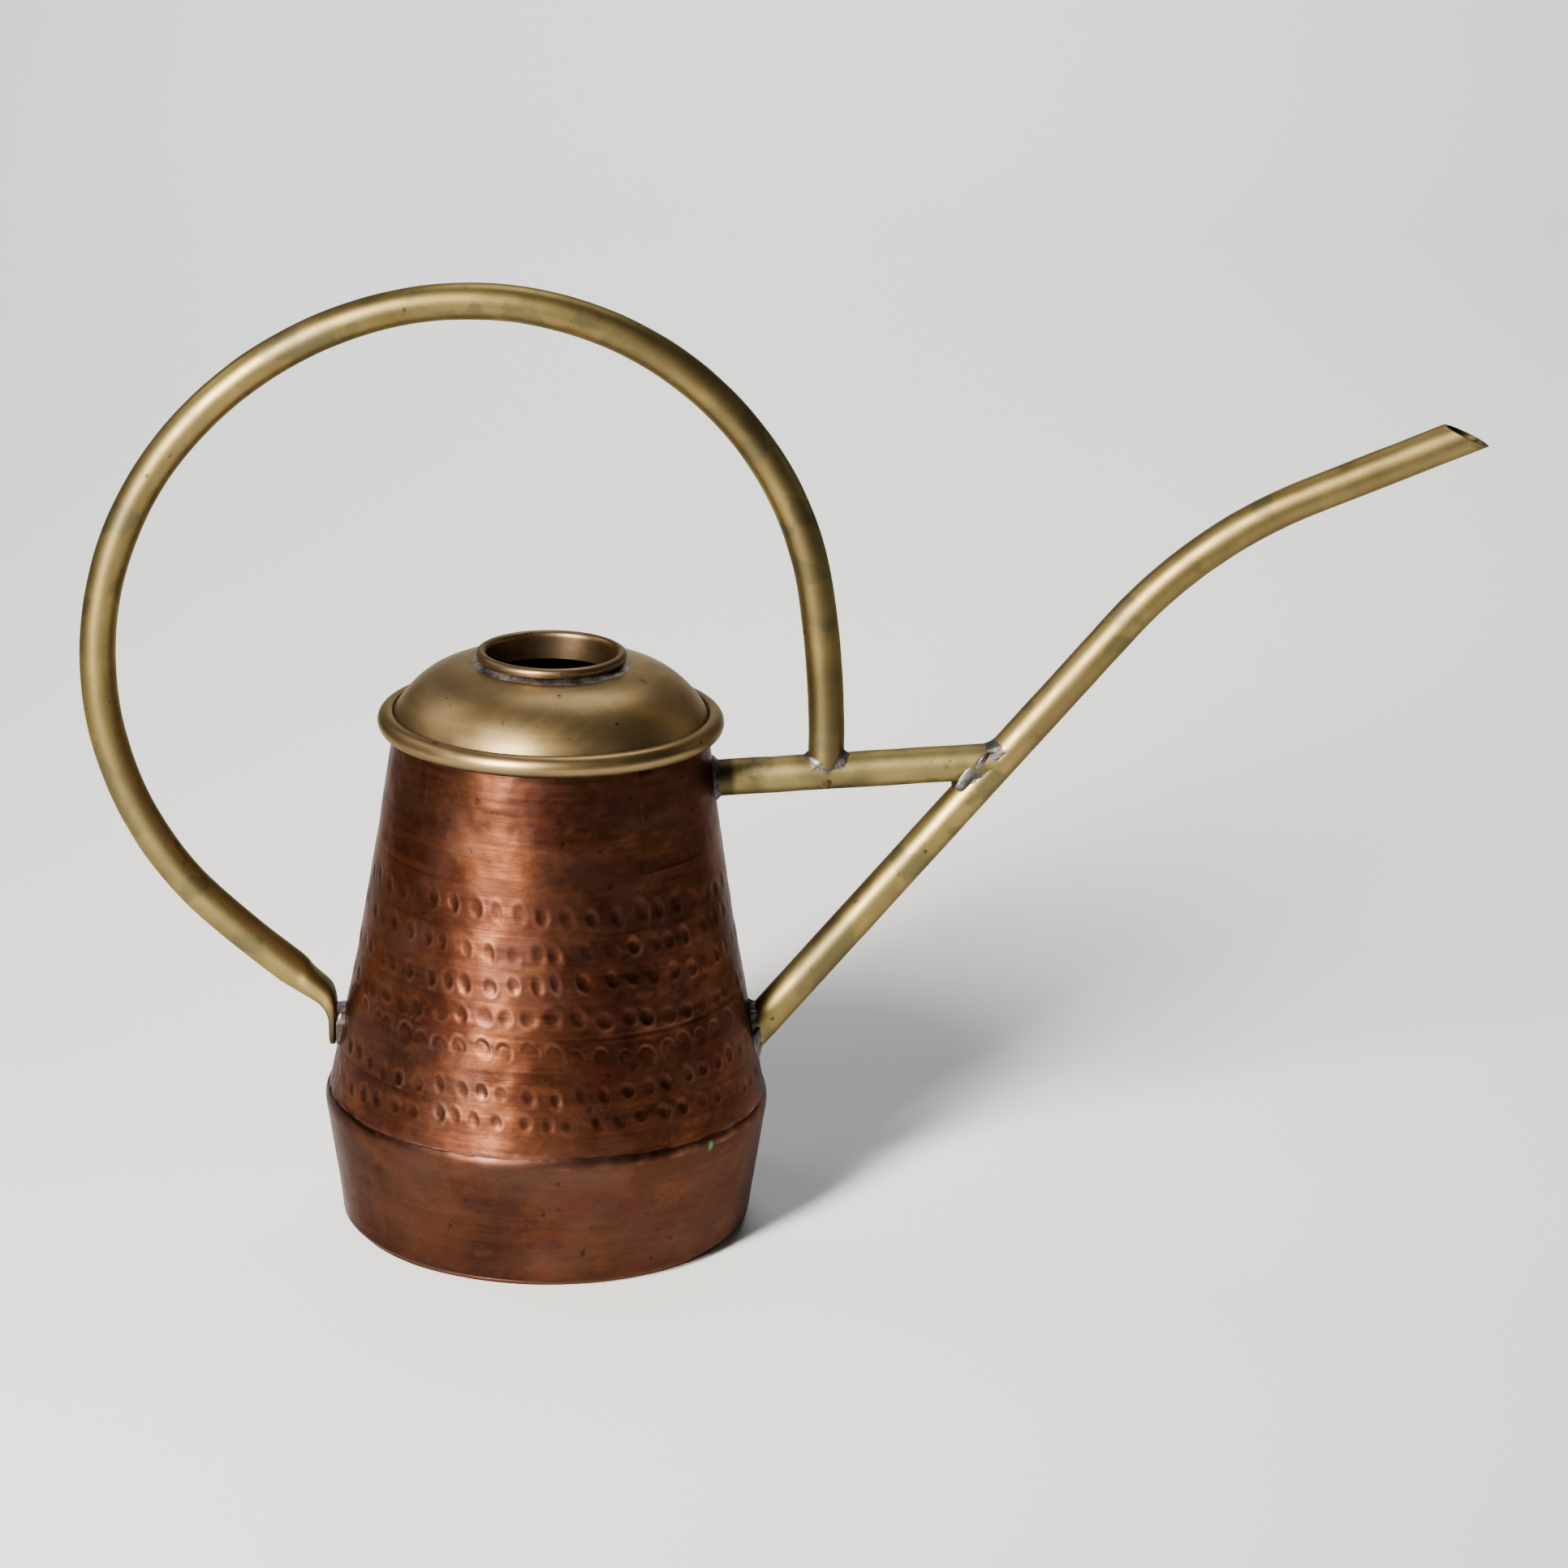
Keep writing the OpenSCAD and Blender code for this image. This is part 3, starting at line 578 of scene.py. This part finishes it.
def dome_cover():
    hole = MOUTH_R + MOUTH_T + 0.1
    rr = np.linspace(hole, DOME_FOOT_R * 0.93, 40)
    rows = [(r, dome_z(r)) for r in rr]
    steep = [DOME_FOOT_R * (1 - 0.07 * (1 - t) ** 1.6) for t in np.linspace(0.1, 0.94, 14)]
    rows += [(r, dome_z(r)) for r in steep]
    rows += [(DOME_FOOT_R + 0.05, DOME_Z + 0.2)]
    rows += arc(BEAD_C, BEAD_Z, BEAD_R, 112, -118, 30)
    rows += [(CONE_R1 - 0.6, CONE_TOP - 0.4), (DOME_FOOT_R - 1.6, DOME_Z)]
    rows += [(r, dome_z(r) - COVER_T) for r in np.linspace(DOME_FOOT_R * 0.95, hole, 18)]
    points = lathe(rows, BODY_RUN, 0.10, 51, 24)
    radius = np.hypot(points[..., 0], points[..., 1])
    # Painted shade: a dark line in the crease between dome and bead, and the bead's underside darkened.
    line = np.exp(-(((radius - DOME_FOOT_R - 0.1) / 0.55) ** 2)) * (points[..., 2] > DOME_Z - 1)
    under = smooth(BEAD_Z + 0.6, BEAD_Z - 1.8, points[..., 2]) * (radius > CONE_R1)
    darkening = smooth(27.5, 24.0, radius) * np.clip(0.55 + 0.5 * rough(points, 7, 54), 0, 1)
    darkening *= points[..., 2] > DOME_Z
    # A brown film on the upper dome, partly painted shade, and painted shade round the bead, thinnest at the
    # front
    front = smooth(0.35, 0.95, -points[..., 1] / radius)
    film = np.clip(0.30 + 0.16 * rough(points, 13, 55), 0, 1) * smooth(46, 30, radius)
    film = np.maximum(film, (0.42 - 0.30 * front) * smooth(DOME_FOOT_R - 3, DOME_FOOT_R + 1, radius))
    marks = {"line": np.maximum.reduce([0.8 * line, 0.62 * under, 0.55 * darkening, film])}
    place(mesh_object("dome_cover_spun", [(points, True, True, False)], BRASS_SPUN, 50, marks),
          "brass_sheet", "dome_cover")


def neck_ring():
    rows = [(MOUTH_R, MOUTH_LOW)] + [(MOUTH_R, h) for h in np.linspace(MOUTH_LOW + 1, LIP_Z - 0.2, 8)]
    rows += arc(LIP_C, LIP_Z, LIP_R, 172, -128, 26)
    rows += [(MOUTH_R + MOUTH_T, LIP_Z - LIP_R - 0.3), (MOUTH_R + MOUTH_T, MOUTH_LOW)]
    points = lathe(rows, 300, 0.06, 52, 12)
    points[..., 2] += 0.10 * rough(points, 18, 53)
    line = (points[..., 2] < LIP_Z - LIP_R * 0.8) & (np.hypot(points[..., 0], points[..., 1]) > MOUTH_R + 0.6)
    place(mesh_object("neck_ring_rolled", [(points, True, True, False)], BRASS_NECK, 50,
                      {"line": 0.7 * line}), "brass_sheet", "neck_ring")


# ---------------------------------------------------------------- tubes

SPOUT_ROOT = np.array([cone_r(SPOUT_ROOT_H), 0, SPOUT_ROOT_H])
SPOUT_DIR = np.array([math.cos(SPOUT_RISE), 0, math.sin(SPOUT_RISE)])
BRACE_ROOT = np.array([cone_r(BRACE_H), 0, BRACE_H])
BRACE_DIR = np.array([math.cos(BRACE_RISE), 0, math.sin(BRACE_RISE)])
HOOP_FOOT = BRACE_ROOT + BRACE_DIR * (HOOP_X - BRACE_ROOT[0]) / BRACE_DIR[0]
HOOP_DIR = np.array([math.cos(HOOP_LEAN), 0, math.sin(HOOP_LEAN)])


def ring_lines(root, direction, radius, n):
    """Start points of lines along a tube's surface, with the tube's axis through root."""
    a = turn(n)
    side = np.array([-direction[2], 0, direction[0]])
    return root + radius * (np.cos(a)[:, None] * side + np.sin(a)[:, None] * np.array([0, 1, 0]))


def meet_cone(start, direction):
    """How far along direction each line leaves the cone."""
    low, high = np.full(len(start), -30.0), np.full(len(start), 30.0)
    for _ in range(40):
        mid = (low + high) / 2
        p = start + mid[:, None] * direction
        out = np.hypot(p[:, 0], p[:, 1]) > cone_r(p[:, 2])
        high, low = np.where(out, mid, high), np.where(out, low, mid)
    return (low + high) / 2


def meet_tube(start, direction, root, axis, radius):
    """How far along direction each line first meets a tube, or comes nearest to it."""
    w = start - root
    w = w - (w @ axis)[:, None] * axis
    u = direction - direction @ axis * axis
    a, b, c = u @ u, 2 * w @ u, (w * w).sum(1) - radius**2
    return (-b - np.sqrt(np.maximum(b * b - 4 * a * c, 0))) / (2 * a)


def dented(points, line, amount, seed, size=11.0):
    """Small hand-made unevenness, square to a tube's centre line."""
    centre = np.stack([line[:, 0], 0 * line[:, 0], line[:, 1]], -1)[:, None, :]
    return points + unit(points - centre + 1e-9) * (rough(points, size, seed) * amount)[..., None]


def painted_shade_underside(points, line):
    """Painted shade on the side of a tube that faces down and towards the spout's tip, 0 to 1."""
    centre = np.stack([line[:, 0], 0 * line[:, 0], line[:, 1]], -1)[:, None, :]
    down = unit(np.array([0.55, 0, -0.83]))
    facing = smooth(0.25, 0.9, unit(points - centre + 1e-9) @ down)
    return facing * np.clip(0.85 + 0.3 * rough(points, 12, 67), 0, 1)


def spout_tube():
    run = [(0, SPOUT_IN + SPOUT_RUN), (SPOUT_BEND_R, -SPOUT_BEND), (0, SPOUT_TIP_RUN)]
    start = SPOUT_ROOT - SPOUT_DIR * SPOUT_IN
    line = walk(start[0], start[2], SPOUT_RISE, run, 1.5)
    one = np.ones(len(line))
    tip_heading = SPOUT_RISE - SPOUT_BEND
    cut_faces = tip_heading + math.pi / 2 - TIP_CUT
    cut = np.array([math.cos(cut_faces), math.sin(cut_faces)])
    along = np.array([math.cos(tip_heading), math.sin(tip_heading)])
    from_tip = np.hypot(line[:, 0] - line[-1, 0], line[:, 1] - line[-1, 1])
    weight = np.clip(1 - from_tip / 16, 0, 1)

    def wall(radius, seed):
        points = rings(line, one * 2 * radius, one * 2 * radius, one * 2, TUBE_POINTS)
        offset = points[..., [0, 2]] - line[:, None, :2]
        shift = -(offset @ cut) / (along @ cut) * weight[:, None]
        points[..., 0] += shift * along[0]
        points[..., 2] += shift * along[1]
        return dented(points, line, 0.07, seed)

    outer, inner = wall(SPOUT_R, 61), wall(SPOUT_R - TUBE_T, 61)
    lip = (outer[-1] * 0.62 + inner[-1] * 0.38)[None] + np.array([along[0], 0, along[1]]) * 0.18
    points = np.concatenate([outer, lip, inner[::-1]])
    marks = np.zeros(points.shape[:2])
    marks[len(outer):] = 0.9
    marks[:len(outer)] = 0.45 * np.clip(rough(outer, 9, 62) - 0.25, 0, 1)
    under = np.exp(-(((outer - [line[-1, 0], 0, line[-1, 1]]) ** 2).sum(-1)) / 9.0**2)
    marks[:len(outer)] = np.maximum(marks[:len(outer)], 0.35 * under)
    # Painted shade on the spout's lower side.
    marks[:len(outer)] = np.maximum(marks[:len(outer)], 0.72 * painted_shade_underside(outer, line))
    place(mesh_object("spout_tube_bent", [(points, True, True, False)], BRASS_TUBE, 45, {"line": marks}),
          "brass_tube", "spout_tube")


def brace_tube():
    rows = 46
    reach_in = ring_lines(BRACE_ROOT, BRACE_DIR, BRACE_R, TUBE_POINTS)
    near = meet_cone(reach_in, BRACE_DIR) - 0.3
    far = meet_tube(reach_in, BRACE_DIR, SPOUT_ROOT, SPOUT_DIR, SPOUT_R) + 0.3
    outer = np.array([reach_in + (near + (far - near) * t)[:, None] * BRACE_DIR
                      for t in np.linspace(0, 1, rows)])
    line = np.array([(c[0], c[2], BRACE_RISE) for c in outer.mean(1)])
    outer = dented(outer, line, 0.10, 63, 9)
    hollow = outer.mean(1)[:, None, :] + (outer - outer.mean(1)[:, None, :]) * (1 - TUBE_T / BRACE_R)
    points = np.concatenate([outer, hollow[::-1]])
    darkening = np.zeros(points.shape[:2])
    darkening[:rows] = np.clip(0.1 + 0.75 * rough(outer, 8, 64), 0, 0.55)
    # Painted shade on the brace's lower side.
    darkening[:rows] = np.maximum(darkening[:rows], 0.7 * painted_shade_underside(outer, line))
    darkening[:4] = 0.9
    place(mesh_object("brace_tube_coped", [(points, True, True, False)], BRASS_WORN, 45, {"line": darkening}),
          "brass_tube", "brace_tube")


def tail(line):
    """Stations of the pressed end of the handle: x, z, heading, thickness and width."""
    x, z, heading = line[-1]
    tab_x = -(cone_r(TAB_LOW) + TAB_GAP + TAB_T / 2)
    down = 1.5 * math.pi
    hand = [
        (x + 3.2 * math.cos(heading), z + 3.2 * math.sin(heading), heading, 10.6, 11.7),
        (x + 6.6 * math.cos(heading - 0.03), z + 6.6 * math.sin(heading - 0.03), heading - 0.05, 8.9, 12.9),
        (tab_x - 2.9, TAB_LOW + 17.4, heading - 0.14, 6.6, 14.2),
        (tab_x - 1.25, TAB_LOW + 14.9, heading - 0.42, 4.9, 15.0),
        (tab_x - 0.35, TAB_LOW + 12.4, down + 0.22, 3.6, 15.6),
        (tab_x, TAB_LOW + 9.8, down, TAB_T + 0.25, TAB_W),
    ]
    for t in np.linspace(0.12, 0.995, 14):
        width = max(TAB_W * math.sqrt(1 - t**2), 1.2)
        hand.append((tab_x, TAB_LOW + TAB_W / 2 * (1 - t), down, TAB_T * (1 - 0.35 * t**4), width))
    return np.array(hand)


def curve_through(knots, steps):
    """A smooth curve through every knot but the first and the last, which only steer it."""
    rows = []
    for p0, p1, p2, p3 in zip(knots, knots[1:], knots[2:], knots[3:]):
        for t in np.linspace(0, 1, steps + 1)[1:]:
            rows.append(0.5 * (2 * p1 + (p2 - p0) * t + (2 * p0 - 5 * p1 + 4 * p2 - p3) * t**2
                               + (3 * p1 - p0 - 3 * p2 + p3) * t**3))
    return rows


def hoop_handle():
    bends = [(r, math.radians(a)) for r, a in HOOP_BENDS]
    # The first few steps are left out, because the leg's foot is coped on the brace below
    line = walk(HOOP_FOOT[0], HOOP_FOOT[2], HOOP_LEAN, bends, 1.6)[5:]
    across = 2 * HOOP_R
    thick = np.full(len(line), across)
    wide = thick.copy()
    box = np.full(len(line), 2.0)
    end = tail(line)
    knots = np.vstack([[*line[-2], across, across], [*line[-1], across, across], end[:6]])
    fine = np.vstack([curve_through(knots, 6), end[5:]])
    flat = smooth(0, 1, (across - fine[:, 3]) / 8.5)
    line_all = np.vstack([line, fine[:, :3]])
    points = rings(line_all, np.r_[thick, fine[:, 3]], np.r_[wide, fine[:, 4]], np.r_[box, 2 + 2.2 * flat],
                   TUBE_POINTS)
    points = dented(points, line_all, 0.09, 65, 13)
    # The front leg is coped on the brace
    foot = points[0]
    down = meet_tube(foot, -HOOP_DIR, BRACE_ROOT, BRACE_DIR, BRACE_R) + 0.3
    for k, share in enumerate((1.0, 0.66, 0.33)):
        points[k] = foot - HOOP_DIR * (down * share)[:, None]
    darkening = np.clip(0.75 * rough(points, 10, 66) - 0.35, 0, 0.5)
    turn_near = np.arange(len(points))[:, None] > len(line_all) - 26
    darkening = np.maximum(darkening, 0.3 * turn_near)
    # Painted shade on the handle's lower side.
    darkening = np.maximum(darkening, 0.62 * painted_shade_underside(points, line_all))
    # The hoop is browner than the spout, most of all down the leg over the brace
    film = 0.20 + 0.26 * smooth(-40, 60, points[..., 0])
    darkening = np.maximum(darkening, film * np.clip(0.8 + 0.35 * rough(points, 15, 68), 0, 1.1))
    # Painted shade on the handle's pressed tab.
    tab = smooth(TAB_LOW + 17, TAB_LOW + 11, points[..., 2]) * (points[..., 0] < 0)
    darkening = np.maximum(darkening, 0.8 * tab)
    place(mesh_object("hoop_handle_bent", [(points, True, False, True)], BRASS_TUBE, 50, {"line": darkening}),
          "brass_tube", "hoop_handle")


# ---------------------------------------------------------------- solder

def fillet(name, corner, on_a, on_b, node, material, seed, lump=0.28, hollow=0.30):
    """A lumpy ring of solder in the corner between two surfaces, from on_a to on_b."""
    middle = corner + ((on_a - corner) + (on_b - corner)) * hollow
    root = corner - unit((on_a - corner) + (on_b - corner)) * 0.45
    rows = [root]
    for t in np.linspace(0, 1, 11):
        rows.append((1 - t) ** 2 * on_a + 2 * t * (1 - t) * middle + t * t * on_b)
    points = np.array(rows)
    out = unit((on_a - corner) + (on_b - corner))[None]
    weight = np.r_[0, np.sin(np.linspace(0, math.pi, 11))][:, None]
    points = points + out * ((rough(points, 2.6, seed) * lump + lump * 0.3) * weight)[..., None]
    place(mesh_object(name, [(points, True, True, False)], material, 70), "solder", *node)


def circle_at(r, z, n=240):
    return around(turn(n), [r], [z])[0]


def lump_on(name, centre, along, size, facing, material, seed):
    """A flattened lump of solder, long along one direction and thin along facing."""
    up = unit(np.array(facing, float))
    side = unit(np.array(along, float) - np.dot(along, up) * up)
    other = np.cross(up, side)
    lat = np.linspace(0.04, math.pi - 0.04, 30)[:, None]
    lon = turn(56)[None, :]
    ball = np.stack([np.sin(lat) * np.cos(lon), np.sin(lat) * np.sin(lon), np.cos(lat) + 0 * lon], -1)
    ball = ball * (1 + 0.16 * rough(ball + seed, 0.9, seed))[..., None]
    axes = (side, other, up)
    points = np.array(centre) + sum(ball[..., k:k + 1] * axis * size[k] for k, axis in enumerate(axes))
    place(mesh_object(name, [(points, True, False, True)], material, 80), "solder")


def wobble(seed, size=7.0):
    """Uneven width of a run of solder round a tube, about 1."""
    return (1 + 0.35 * rough(circle_at(24, 0, TUBE_RUN), size, seed))[:, None]


def mouth_solder():
    wall = MOUTH_R + MOUTH_T
    c = circle_at(wall, dome_z(wall + 0.1))
    w = (1 + 0.16 * rough(c, 9, 71))[:, None]
    foot = c + unit(c * [1, 1, 0]) * 3.6 * w
    foot[:, 2] = dome_z(np.hypot(foot[:, 0], foot[:, 1])) - 0.05
    fillet("solder_neck_fillet", c, c + [0, 0, 1.4], foot, ["solder_neck_ring"], SOLDER, 72, 0.14, 0.36)


def cover_solder():
    """Under the bead of the cover, on the cone."""
    c = circle_at(CONE_R1 + 0.05, CONE_TOP - 0.7, BODY_RUN)
    w = (0.55 + 0.3 * rough(c, 7, 73))[:, None]
    low = c - [0, 0, 1] * w * 1.7
    low[:, :2] = unit(low[:, :2]) * (cone_r(low[:, 2]) - 0.05)[:, None]
    under = c + unit(c * [1, 1, 0]) * 1.7 * w + [0, 0, -0.25]
    fillet("solder_cover_fillet", c, low, under, ["solder_cover_rim"], SOLDER_DARK, 74, 0.12, 0.42)


def shoulder_solder():
    """A thin browned run over the edge of the drum's lap on the cone."""
    lap = SHOULDER_H + LAP_H
    c = circle_at(cone_r(lap), lap - 0.1, BODY_RUN)
    up = c + [0, 0, 1] * (0.7 + 0.3 * rough(c, 9, 86))[:, None]
    up[:, :2] = unit(up[:, :2]) * (cone_r(up[:, 2]) + 0.01)[:, None]
    edge = c + unit(c * [1, 1, 0]) * 0.08 - [0, 0, 0.2]
    fillet("solder_shoulder_run", c, edge, up, ["solder_shoulder"], SOLDER_BROWN, 87, 0.02, 0.5)


def tube_root_solder(name, node, root, way, radius, wide, seed):
    """Round a tube where it leaves the cone."""
    lines = ring_lines(root, way, radius, TUBE_RUN)
    corner = lines + meet_cone(lines, way)[:, None] * way
    w = wobble(seed)
    up = corner + way * wide * 1.2 * w
    spread = ring_lines(root, way, radius + wide * 1.15, TUBE_RUN)
    on_cone = spread + (meet_cone(spread, way) - 0.08)[:, None] * way
    fillet(name, corner, up, corner + (on_cone - corner) * w, [node], SOLDER_DARK, seed + 1, 0.30, 0.32)


def brace_end_solder():
    """Round the brace where it meets the spout."""
    lines = ring_lines(BRACE_ROOT, BRACE_DIR, BRACE_R, TUBE_RUN)
    corner = lines + meet_tube(lines, BRACE_DIR, SPOUT_ROOT, SPOUT_DIR, SPOUT_R)[:, None] * BRACE_DIR
    spread = ring_lines(BRACE_ROOT, BRACE_DIR, BRACE_R + 1.7, TUBE_RUN)
    # A line wider than the spout would pass it by
    spread[:, 1] = np.clip(spread[:, 1], 0.3 - SPOUT_R, SPOUT_R - 0.3)
    reach = meet_tube(spread, BRACE_DIR, SPOUT_ROOT, SPOUT_DIR, SPOUT_R) + 0.1
    on_spout = spread + reach[:, None] * BRACE_DIR
    w = wobble(79, 5)
    fillet("solder_brace_end", corner, corner - BRACE_DIR * 1.6 * w, corner + (on_spout - corner) * w,
           ["solder_brace_spout"], SOLDER_DARK, 80, 0.20, 0.34)


def leg_solder():
    """Round the handle's leg where it stands on the brace; the lines start above and come down."""
    above = HOOP_DIR * 20
    lines = ring_lines(HOOP_FOOT, HOOP_DIR, HOOP_R, TUBE_RUN) + above
    corner = lines - meet_tube(lines, -HOOP_DIR, BRACE_ROOT, BRACE_DIR, BRACE_R)[:, None] * HOOP_DIR
    spread = ring_lines(HOOP_FOOT, HOOP_DIR, HOOP_R + 1.5, TUBE_RUN) + above
    # A line wider than the brace would pass it by
    spread[:, 1] = np.clip(spread[:, 1], 0.375 - BRACE_R, BRACE_R - 0.375)
    reach = meet_tube(spread, -HOOP_DIR, BRACE_ROOT, BRACE_DIR, BRACE_R) + 0.1
    on_brace = spread - reach[:, None] * HOOP_DIR
    w = wobble(81, 5)
    fillet("solder_leg_foot", corner, corner + HOOP_DIR * 1.2 * w, corner + (on_brace - corner) * w,
           ["solder_handle_brace"], SOLDER_DARK, 82, 0.16, 0.36)


def tab_solder():
    """The bead between the handle's tab and the cone: a flat face on the tab, a round one on the cone."""
    z = np.linspace(TAB_LOW + 0.5, TAB_LOW + 13.2, 22)
    from_middle = (z - z.mean()) / (np.ptp(z) / 2 + 0.15)
    half = 6.9 * np.sqrt(np.clip(1 - from_middle**2, 0.02, 1)) ** 0.8
    y = np.linspace(-1, 1, 30)[None, :] * half[:, None]
    z = z[:, None] + 0 * y
    on_tab = np.stack([0 * y - cone_r(TAB_LOW) - 0.25, y, z], -1)
    on_cone = np.stack([-np.sqrt((cone_r(z) - 0.3) ** 2 - y**2), y, z], -1)
    swell = 1 + 0.08 * rough(on_tab, 3, 84)
    points = np.concatenate([on_tab * [1, 1.06, 1], on_cone[:, ::-1]], 1)
    points[..., 1] *= np.concatenate([swell, swell], 1)
    points[..., 2] += 0.3 * rough(points, 4, 85)
    place(mesh_object("solder_tab_bead", [(points, True, False, True)], SOLDER, 60),
          "solder", "solder_handle_tab")


def extra_solder():
    """Where more was run in: down the front of the brace's end, beside the leg and beside the tab."""
    front = unit(np.array([0.35, -1, -0.1]))
    end = BRACE_ROOT + BRACE_DIR * (np.linalg.norm(BRACE_ROOT - BRACE_END) + 0.2)
    lump_on("solder_patch_brace", end + [-1.4, -5.2, -3.4], SPOUT_DIR, (5.6, 2.3, 0.9), front, SOLDER, 5)
    lump_on("solder_patch_brace_top", end + [2.6, -5.3, 1.9], SPOUT_DIR, (3.2, 1.3, 0.8), front, SOLDER, 9)
    lump_on("solder_patch_leg", HOOP_FOOT + [-3.6, -4.0, 4.2], (1, 0, -0.5), (2.6, 1.5, 1.0),
            (-0.4, -0.8, 0.35), SOLDER, 13)
    lump_on("solder_patch_tab", (-65.6, -5.1, TAB_LOW + 9.5), (0.2, 0, 1), (2.6, 1.6, 1.2), (-0.2, -1, 0.1),
            SOLDER, 17)


def seam_solder():
    """The long seams and the base keep their CAD mesh and only get a material."""
    for node in ("solder_base_seam", "solder_cone_seam", "solder_drum_seam"):
        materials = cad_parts[node].data.materials
        materials.clear()
        materials.append(SOLDER_BROWN)


# ---------------------------------------------------------------- stage

def backdrop():
    """Pale floor and wall in one sweep of paper; the wall glows softly behind the object."""
    floor_y, wall_y, bend = -4.0, 1.6, 0.9
    sweep = [(floor_y, 0.0), (wall_y, 0.0)]
    sweep += [(wall_y + bend * math.sin(t), bend - bend * math.cos(t))
              for t in np.linspace(0.1, math.pi / 2, 14)]
    sweep += [(wall_y + bend, 4.5)]
    points = np.array([[(x, y, z) for x in (-5, 0, 5)] for y, z in sweep]) / MM
    paper = Nodes("backdrop_paper")
    ball = paper.add("ShaderNodeMapping", vector_type="TEXTURE")
    ball.inputs["Location"].default_value = (0.0, 1.7, 0.6)
    ball.inputs["Scale"].default_value = (1.3, 1.7, 1.6)
    paper.put(ball.inputs["Vector"], paper.place)
    spot = paper.add("ShaderNodeTexGradient", gradient_type="SPHERICAL")
    paper.put(spot.inputs["Vector"], ball.outputs["Vector"])
    glow = paper.ramp(spot.outputs["Fac"], (0.0, 0.0), (0.6, 1.0))
    paper.put(paper.shader.inputs["Emission Color"], glow)
    paper.put(paper.shader.inputs["Emission Strength"], 1.1)
    paper.finish((0.86, 0.86, 0.86, 1), 0.9, 0.0)
    floor = mesh_object("backdrop", [(points, False, False, False)], paper.material, 80)


def lamp(name, size, power, aside, above, far, spread, colour=(1, 1, 1)):
    """A soft lamp at an angle aside from the picture's front and above the table, in degrees."""
    data = bpy.data.lights.new(name, "AREA")
    data.shape = "RECTANGLE"
    data.size, data.size_y = size
    data.energy = power
    data.color = colour
    data.spread = math.radians(spread)
    thing = bpy.data.objects.new(name, data)
    bpy.context.scene.collection.objects.link(thing)
    a, b, aim = math.radians(aside), math.radians(above), Vector((0.0, 0.0, 0.12))
    away = Vector((math.sin(a) * math.cos(b), -math.cos(a) * math.cos(b), math.sin(b)))
    thing.location = aim + far * away
    thing.rotation_euler = (thing.location - aim).to_track_quat("Z", "Y").to_euler()


def room():
    """The dim light that comes from everywhere."""
    world = bpy.data.worlds.new("room")
    world.use_nodes = True
    world.node_tree.nodes["Background"].inputs["Color"].default_value = (0.9, 0.93, 1.0, 1)
    world.node_tree.nodes["Background"].inputs["Strength"].default_value = 0.035
    bpy.context.scene.world = world


def camera():
    heading, dip = CAMERA_HEADING, CAMERA_DIP
    ahead = Vector((math.sin(heading) * math.cos(dip), math.cos(heading) * math.cos(dip), -math.sin(dip)))
    right = Vector((math.cos(heading), -math.sin(heading), 0))
    up = right.cross(ahead)
    turned_right = right * math.cos(CAMERA_ROLL) + up * math.sin(CAMERA_ROLL)
    turned_up = up * math.cos(CAMERA_ROLL) - right * math.sin(CAMERA_ROLL)
    data = bpy.data.cameras.new("camera")
    data.sensor_width = 36
    data.lens = CAMERA_LENS
    data.clip_end = 50
    thing = bpy.data.objects.new("camera", data)
    bpy.context.scene.collection.objects.link(thing)
    turned = Matrix((turned_right, turned_up, -ahead)).transposed().to_4x4()
    thing.matrix_world = Matrix.Translation(CAMERA_AT) @ turned
    bpy.context.scene.camera = thing


upper_cone()
lower_drum()
base_plate()
dome_cover()
neck_ring()
spout_tube()
brace_tube()
hoop_handle()

mouth_solder()
cover_solder()
shoulder_solder()
tube_root_solder("solder_brace_root", "solder_brace_cone", BRACE_ROOT, BRACE_DIR, BRACE_R, 1.5, 75)
tube_root_solder("solder_spout_foot", "solder_spout_root", SPOUT_ROOT, SPOUT_DIR, SPOUT_R, 2.3, 77)
brace_end_solder()
leg_solder()
tab_solder()
extra_solder()
seam_solder()

backdrop()
lamp("key", (0.30, 1.5), 28, -34, 25, 1.9, 60, (1.0, 0.96, 0.88))
lamp("top", (1.0, 1.0), 2.6, 165, 62, 1.9, 80)
lamp("left", (0.9, 0.7), 1.2, -112, 40, 1.9, 80)
lamp("right", (0.2, 1.0), 0.15, 105, 12, 1.9, 60)
room()
camera()
